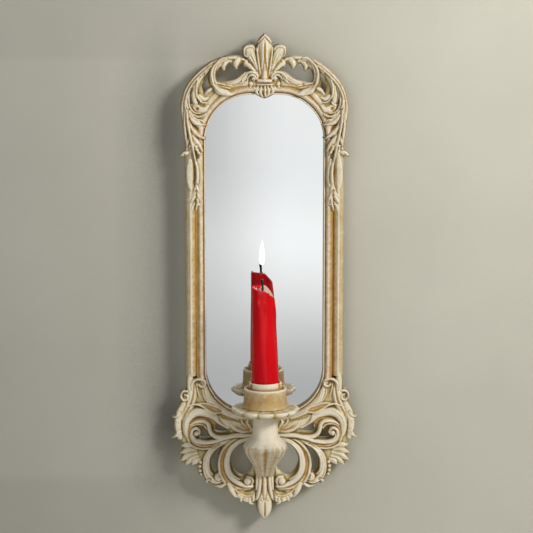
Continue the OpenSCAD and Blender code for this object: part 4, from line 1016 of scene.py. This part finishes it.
def bracket():
    up, wide, front, rear = BRACKET.T
    levels = np.linspace(up[0], up[-1], 120)
    theta = np.linspace(0, 2 * np.pi, 144, endpoint=False)
    rings, wash, gilt = [], [], []
    for z in levels:
        w, f, b = (np.interp(z, up, v) for v in (wide, front, rear))
        leafy = np.clip((-156 - z) / 8, 0, 1) * np.clip((z + 199) / 5, 0.3, 1)
        flute = np.cos(theta * 22) * 0.5 + 0.5
        lobes = np.abs(np.cos(theta * 7))
        depth = leafy * (0.3 + 0.6 * np.clip((-162 - z) / 12, 0, 1))
        shape = np.sign(np.cos(theta)) * np.abs(np.cos(theta)) ** 0.82
        shape_y = np.sign(np.sin(theta)) * np.abs(np.sin(theta)) ** 0.82
        cut = depth * (1 - lobes) * np.clip(np.sin(theta) + 1.1, 0.2, 1)
        hem = np.exp(-((z + 164.5 + 2.2 * lobes) / 2.6) ** 2)
        x = shape * (w - cut + 0.8 * hem * lobes * (w > 15))
        y = (f + b) / 2 + shape_y * ((f - b) / 2 - cut + 0.4 * hem * lobes)
        y = np.minimum(y, BRACKET_FRONT)
        rings.append(np.column_stack([x, -y, np.full(len(theta), z + MIRROR_Z)]))
        groove = (1 - lobes) ** 2 * np.clip(depth, 0, 1)
        cup = np.clip((-161 - z) / 5, 0, 1)
        wash.append(0.26 + 0.2 * groove + 0.07 * cup * (1 - flute))
        gilt.append(0.6 * groove + cup * (0.16 + 0.5 * (1 - flute)))
    verts, groups = loft(rings)
    extra = {"wash": np.concatenate([np.ravel(wash), [0.5, 0.5]]),
             "gilt": np.concatenate([np.ravel(gilt), [0, 0]])}
    settled(build_mesh("bracket_arm_carved", verts, groups, extra, "socket", 60), "bracket_arm")


def turned(name, node, profile, look, shape, glaze_and_shade=None, around=192, smooth=50):
    """A piece turned about the candle's axis. profile: radius, height, wash, gilt; shape bends it, and an optional
    second function adds to its wash and gilt: real glaze between the pan's scallops, painted shade in the liner's
    notches.
    """
    rows = np.asarray(profile, float)
    theta = np.linspace(0, 2 * np.pi, around, endpoint=False)
    rings, glaze_and_shade_rows = [], []
    for r, z in rows[:, :2]:
        rr, zz = np.full(around, r), np.full(around, z)
        glaze_and_shade_rows.append(glaze_and_shade(rr, zz, theta) if glaze_and_shade else np.zeros(around))
        rr, zz = shape(rr, zz, theta)
        rings.append(ring(0, rr, theta, zz + MIRROR_Z))
    verts, groups = loft(rings, capped=False)
    extra = {key: np.repeat(rows[:, col], around) + np.ravel(glaze_and_shade_rows) for key, col in (("wash", 2), ("gilt", 3))}
    settled(build_mesh(name, verts, groups, extra, look, smooth), node)


PAN_WAIST = -131.4    # mm from the mirror's middle, where the pan's rim turns under


def lobed(rr, zz, theta):
    """Twelve scallops, deep at the rim and running in under the pan as gadroons."""
    f = np.abs(np.cos(6 * theta)) ** 0.6
    out = np.clip((rr - 16) / 12.6, 0, 1)
    under = (zz < PAN_WAIST) * np.clip((rr - 14.6) / 2, 0, 1)
    wobble = 0.25 * np.sin(3 * theta + 1) + 0.15 * np.sin(7 * theta)
    radius = rr + out * 0.9 - (out * 2.0 + under * 0.6) * (1 - f) + out * wobble * 0.6
    return radius, zz + out ** 2 * (0.5 * f - 0.3) * (zz > PAN_WAIST)


def lobe_stain(rr, zz, theta):
    """Glaze caught between the scallops."""
    f = np.abs(np.cos(6 * theta)) ** 0.6
    return 0.3 * np.clip((rr - 16) / 8, 0, 1) * (1 - f) ** 1.5 + 0.05 * np.sin(5 * theta)


pan_profile = [(2.2, -136.4, .6, 0), (12.4, -136.4, .6, .2), (13.6, -136.0, .5, .2), (14.8, -135.4, .45, .2),
               (16.6, -135.0, .55, .5), (19.2, -134.8, .45, .3), (22.6, -134.4, .42, .2), (25.4, -134.2, .42, .1),
               (27.4, -133.2, .4, .1), (28.6, -131.8, .34, .1), (28.8, -130.4, .26, 0), (28.5, -129.4, .14, 0),
               (27.4, -128.9, .16, 0), (25.6, -129.1, .3, .1), (23.6, -129.4, .38, .2), (21.6, -129.3, .4, .2),
               (20.6, -128.9, .42, .3), (19.8, -128.2, .5, .6), (10, -127.9, .6, 0), (2.2, -127.9, .6, 0)]
turned("drip_pan_lobed", "drip_pan", curve(pan_profile, 3), "socket", lobed, lobe_stain, 288, 45)


def wavy(rr, zz, theta):
    radius = rr + 0.12 * np.sin(3 * theta + 0.4) + 0.07 * np.sin(8 * theta + zz * 0.3)
    return radius, zz + 0.10 * np.sin(2 * theta + 1)


drum_profile = [(14.5, -127.9, .6, 0), (19.8, -128.0, .5, .4), (20.0, -127.4, .46, .3), (19.7, -126.4, .48, .5),
                (19.3, -125.2, .5, .6), (19.0, -123.6, .5, .6), (18.8, -121.4, .5, .65), (18.7, -118.6, .49, .65),
                (18.7, -116.0, .48, .6), (18.7, -114.4, .46, .5), (18.75, -113.2, .42, .3), (18.8, -112.4, .3, .1),
                (18.65, -111.8, .14, 0), (18.2, -111.4, .08, 0), (17.4, -111.3, .2, .1), (16.4, -111.6, .5, .6),
                (15.4, -112.2, .7, 1), (14.5, -112.6, .8, 1)]
turned("socket_drum_turned", "socket_drum", curve(drum_profile, 3), "socket", wavy, smooth=45)


def near_notch(theta, half, soft):
    """1 in the liner's four notches, falling to 0 'half' degrees from their middles."""
    found = np.zeros_like(theta)
    for deg in (60, 120, 240, 300):
        away = np.abs((np.degrees(theta) - deg + 180) % 360 - 180)
        found = np.maximum(found, np.clip((half - away) / soft, 0, 1))
    return found


def notched(rr, zz, theta):
    """Four notches in the liner's rim, and a slightly uneven edge."""
    top = np.clip((zz + 110) / 3.0, 0, 1)
    dip = near_notch(theta, 6.0, 2.5)
    return rr + 0.1 * np.sin(5 * theta), zz - top * (1.0 * dip) + top * 0.12 * np.sin(3 * theta)


def notch_painted_shade(rr, zz, theta):
    """Painted shade in the notches: more wash and gilt there, so they paint darker than the rim."""
    dark = near_notch(theta, 8.5, 3.0)
    return dark * np.clip((zz + 114) / 2.0, 0, 1) * np.clip((-106.2 - zz) / 1.0, 0.15, 1) * 2.0


liner_profile = [(2.2, -127.0, .6, 0), (14.35, -127.0, .6, 0), (14.35, -113, .8, .8), (14.35, -111.6, .7, .7),
                 (14.35, -110.6, .45, .3), (14.35, -109.2, .28, .1), (14.3, -107.6, .2, 0),
                 (14.15, -106.7, .1, 0), (13.7, -106.1, .06, 0),
                 (13.2, -105.95, .06, 0), (12.7, -106.2, .1, 0), (12.5, -107.0, .5, .2), (12.45, -109, .6, .3),
                 (12.45, -121, .7, 0), (11.6, -122.4, .7, 0), (11.5, -124.9, .7, 0), (2.2, -125.0, .6, 0)]
turned("socket_liner_turned", "socket_liner", liner_profile, "liner", notched, notch_painted_shade, 360, 40)
bracket()


# ---- Candle ----

# Runs of wax down the side: angle and its spread, depth under the mirror's middle and its spread, thickness
WAX_RUNS = ((1.35, 0.24, 44, 9, 0.8), (0.25, 0.16, 38, 6, 0.7), (5.75, 0.2, 36, 4, 0.6))


def candle_mesh():
    around, levels = 128, 110
    theta = np.linspace(0, 2 * np.pi, around, endpoint=False)     # 0 is the front, +90 degrees the right
    foot, top = -122.3, -21.5
    rng = np.random.default_rng(7)
    waves = [(k, rng.uniform(0, 6.28), rng.uniform(0.4, 1)) for k in (2, 3, 5, 7)]
    right, front = np.sin(theta), np.cos(theta)
    # Rim of the melted top: high on the left and back, run down on the right and a little at the front
    rim = -21.6 - 8.8 * np.clip((right + 0.1) / 1.1, 0, 1) ** 2.3 - 2.6 * np.clip(front, 0, 1)
    rim += 0.2 * np.sin(3 * theta + 0.5) + 0.15 * np.sin(7 * theta)
    rings, melt = [], []
    for s in np.linspace(0, 1, levels):
        z = foot + s * (rim - foot)
        t = (z - foot) / (top - foot)
        above = np.clip((z + 107) / 79, 0, 1.1)
        r = 11.3 + 0.75 * np.clip((z + 107.5) / 2, 0, 1) - 2.5 * above
        r = r + 0.16 * sum(a * np.sin(k * theta + ph + 3.2 * s * (k % 2 + 0.5)) for k, ph, a in waves) * (s > 0.12)
        r = r + sum(np.exp(-((theta - at) / arc) ** 2) * np.exp(-((z + low) / tall) ** 2) * thick
                    for at, arc, low, tall, thick in WAX_RUNS)
        round_over = 0.5 * np.clip((s - 0.985) / 0.015, 0, 1)
        lean = (0.35 * np.clip((z + 107.5) / 2, 0, 1) - 2.5 * above)
        rings.append(ring(lean, r - round_over, theta, z + MIRROR_Z))
        melt.append(np.clip((s - 0.975) / 0.02, 0, 1) * 0.55 * np.clip((right + 0.45) / 0.4, 0.3, 1))
    lip = np.array(rings[-1])
    for k, (shrink, sink) in enumerate(((0.88, 0.1), (0.74, 0.9), (0.58, 2.0), (0.4, 2.7), (0.2, 2.9), (0.1, 2.9))):
        z = lip[:, 2] * (1 - k / 5.0) + (MIRROR_Z - 26.6) * (k / 5.0) - sink * (1 - k / 5.0)
        x, y = lip[:, 0] * shrink - 2.2 * (1 - shrink), AXIS_Y + (lip[:, 1] - AXIS_Y) * shrink
        rings.append(np.column_stack([x, y, z]))
        melt.append(0.9 * np.clip((right + 0.45) / 0.4, 0.3 + 0.14 * k, 1))
    verts, groups = loft(rings)
    extra = {"melt": np.concatenate([np.ravel(melt), [0, 1]])}
    settled(build_mesh("candle_taper", verts, groups, extra, "wax", 60), "candle", "taper")


def wick_mesh():
    phi = np.linspace(0, 2 * np.pi, 40, endpoint=False)
    rings = []
    for s in np.linspace(0, 1, 40):
        lean = 2.4 + 0.5 * max(0.0, (s - 0.55) / 0.45) ** 2
        r = 0.98 + 0.10 * np.cos(3 * phi + s * 34) - 0.12 * (s < 0.5) + 0.9 * max(0.0, s - 0.7)
        rings.append(ring(-lean, r, phi, -33.3 + s * 18.0 + MIRROR_Z))
    settled(build_mesh("candle_wick_braided", *loft(rings), {}, "wick", 60), "candle_wick", "taper")


def flame_mesh():
    """Seen only in the mirror, so hidden from the camera's own rays; it rides the candle."""
    s = np.linspace(0, 1, 40)
    r = 2.75 * np.sin(np.pi * s ** 0.62) ** 0.8 * (1 - 0.35 * s) + 0.02
    phi = np.linspace(0, 2 * np.pi, 40, endpoint=False)
    rings = [ring(-1.6 + 0.5 * q ** 2, k, phi, MIRROR_Z - 16.2 + 23.3 * q) for q, k in zip(s, r)]
    obj = build_mesh("candle_flame", *loft(rings), {}, "flame", 80)
    obj.visible_camera = False
    obj.visible_shadow = False
    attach(obj, "taper")


candle_mesh()
wick_mesh()
flame_mesh()


# ---- CAD nodes shown as they are ----

for look, nodes in {
    "wood": ["frame_core"], "mirror": ["mirror_glass"], "board": ["backing_board"], "felt": ["wall_pads"],
    "zinc": ["keyhole_plate", "keyhole_plate_screws", "bracket_screws", "socket_screw"],
    "brass": ["turn_button_screws"] + [f"{v}_{s}_turn_button" for v in ("upper", "lower") for s in ("left", "right")],
}.items():
    for node in nodes:
        NODE[node].data.materials.clear()
        NODE[node].data.materials.append(LOOK[look])


# ---- Stage and light ----

def stage_plane(name, corners, mat):
    me = bpy.data.meshes.new(name)
    me.from_pydata(corners, [], [(0, 1, 2, 3)])
    me.materials.append(mat)
    obj = in_scene(name, me)
    return obj


def wall_look():
    k = Look("wall_paint")
    mottled = k.noise(9, 4, 0.5)
    colour = k.ramp(mottled, (0.3, linear(200, 198, 185)), (0.7, linear(206, 204, 191)))
    across, up = k.axis(0), k.axis(2)
    # Painted light: the wall is darker towards the left and the bottom, as if lit from the right and above.
    painted_light_falloff = k.math("MULTIPLY", k.span(across, -0.26, 0.2, 0.70, 1.0), k.span(up, -0.46, 0.06, 0.84, 1.0))
    # Painted shadow: ambient occlusion darkens the wall strongly just left of the frame and only faintly elsewhere,
    # standing in for the frame's cast shadow.
    near = k.new("ShaderNodeAmbientOcclusion", {"Distance": 0.065}, samples=8).outputs["AO"]
    shade = k.math("POWER", near, k.span(across, -0.105, -0.07, 6.4, 0.25))
    colour = k.mix(1.0, colour, k.math("MULTIPLY", painted_light_falloff, shade), "MULTIPLY")
    # Painted light: a little glow on the wall behind the right-hand openings only, standing in for the key light
    # reaching it there.
    tall = k.math("MULTIPLY", k.span(up, 0.006, 0.014, 1.0, 0.0), k.span(up, -0.374, -0.362, 0.0, 1.0))
    reach = k.math("MULTIPLY", k.span(across, 0.034, 0.048, 1.0, 0.0), tall)
    glow = k.math("MULTIPLY", k.span(across, 0.002, 0.012, 0.04, 0.26), reach)
    front = k.principled(colour, 0.9, 0.0, k.bump(k.noise(400, 3), 0.0003, 0.3), Specular_IOR_Level=0.1,
                         Emission_Color=linear(204, 203, 192), Emission_Strength=glow)
    behind = k.new("ShaderNodeNewGeometry").outputs["Backfacing"]
    clear = k.new("ShaderNodeBsdfTransparent").outputs[0]
    return k.show(k.new("ShaderNodeMixShader", {0: behind, 1: front.outputs[0], 2: clear}))


def floor_look():
    k = Look("floor_paint")
    colour = k.ramp(k.noise(7, 4, 0.5), (0.3, linear(196, 192, 182)), (0.7, linear(204, 200, 190)))
    return k.surface(colour, 0.8, 0.0, k.bump(k.noise(300, 3), 0.0003, 0.3), Specular_IOR_Level=0.2)


def card_look():
    """A soft glow for the mirror to look into: light above right, dimmer below."""
    k = Look("card_glow")
    across, up = k.axis(0), k.axis(2)
    side = k.span(across, -0.10, 0.10, -0.03, 0.31)
    tall = k.span(up, -0.86, -0.5, 0.0, 1.0)
    far = k.span(up, -0.55, -0.36, 0.0, 0.12)
    level = k.math("MULTIPLY", tall, k.math("ADD", side, 0.28))
    level = k.math("SUBTRACT", k.math("ADD", level, 0.47), far)
    return k.glow(k.mix(k.noise(3, 2), (0.97, 0.985, 1.0, 1), (1.0, 0.995, 0.98, 1)), level)


WALL_Y, FLOOR_Z, CARD_Y = 0.0036, -0.62, -2.5
wall = stage_plane("wall", [(-3, WALL_Y, -1.2), (3, WALL_Y, -1.2), (3, WALL_Y, 2.2), (-3, WALL_Y, 2.2)], wall_look())
floor = stage_plane("floor", [(-4, -4, FLOOR_Z), (4, -4, FLOOR_Z), (4, 3, FLOOR_Z), (-4, 3, FLOOR_Z)], floor_look())
card = stage_plane("card", [(-0.8, CARD_Y, -1.3), (-0.8, CARD_Y, 0.1), (0.8, CARD_Y, 0.1), (0.8, CARD_Y, -1.3)],
                   card_look())
for plane, unseen in ((wall, ("diffuse", "glossy", "shadow")), (floor, ("glossy",)),
                      (card, ("camera", "diffuse", "shadow", "transmission"))):
    for ray in unseen:
        setattr(plane, "visible_" + ray, False)


LAMP_AIM = (0, -0.01, -0.18)


def lamp(name, place, size, power, colour):
    data = bpy.data.lights.new(name, "AREA")
    data.shape = "DISK"
    data.size = size
    data.energy = power
    data.color = colour
    obj = in_scene(name, data)
    obj.location = place
    obj.rotation_mode = "QUATERNION"
    obj.rotation_quaternion = (Vector(LAMP_AIM) - Vector(place)).to_track_quat("-Z", "Y")
    return obj


lamp("key", (1.25, -1.15, 0.75), 0.5, 28, (1.0, 0.985, 0.96))
lamp("fill", (-0.9, -2.2, 0.3), 1.4, 9, (0.95, 0.98, 1.0))
lamp("low", (0.25, -1.9, -0.95), 1.2, 10, (1.0, 0.99, 0.96)).visible_glossy = False
lamp("rear", (0.6, 1.6, 0.8), 1.2, 14, (1.0, 1.0, 1.0))

world = bpy.data.worlds.new("studio")
SCENE.world = world
world.use_nodes = True
sky = world.node_tree.nodes["Background"]
sky.inputs[0].default_value = (0.78, 0.79, 0.8, 1)
sky.inputs[1].default_value = 0.26
SCENE.view_settings.view_transform = "Standard"
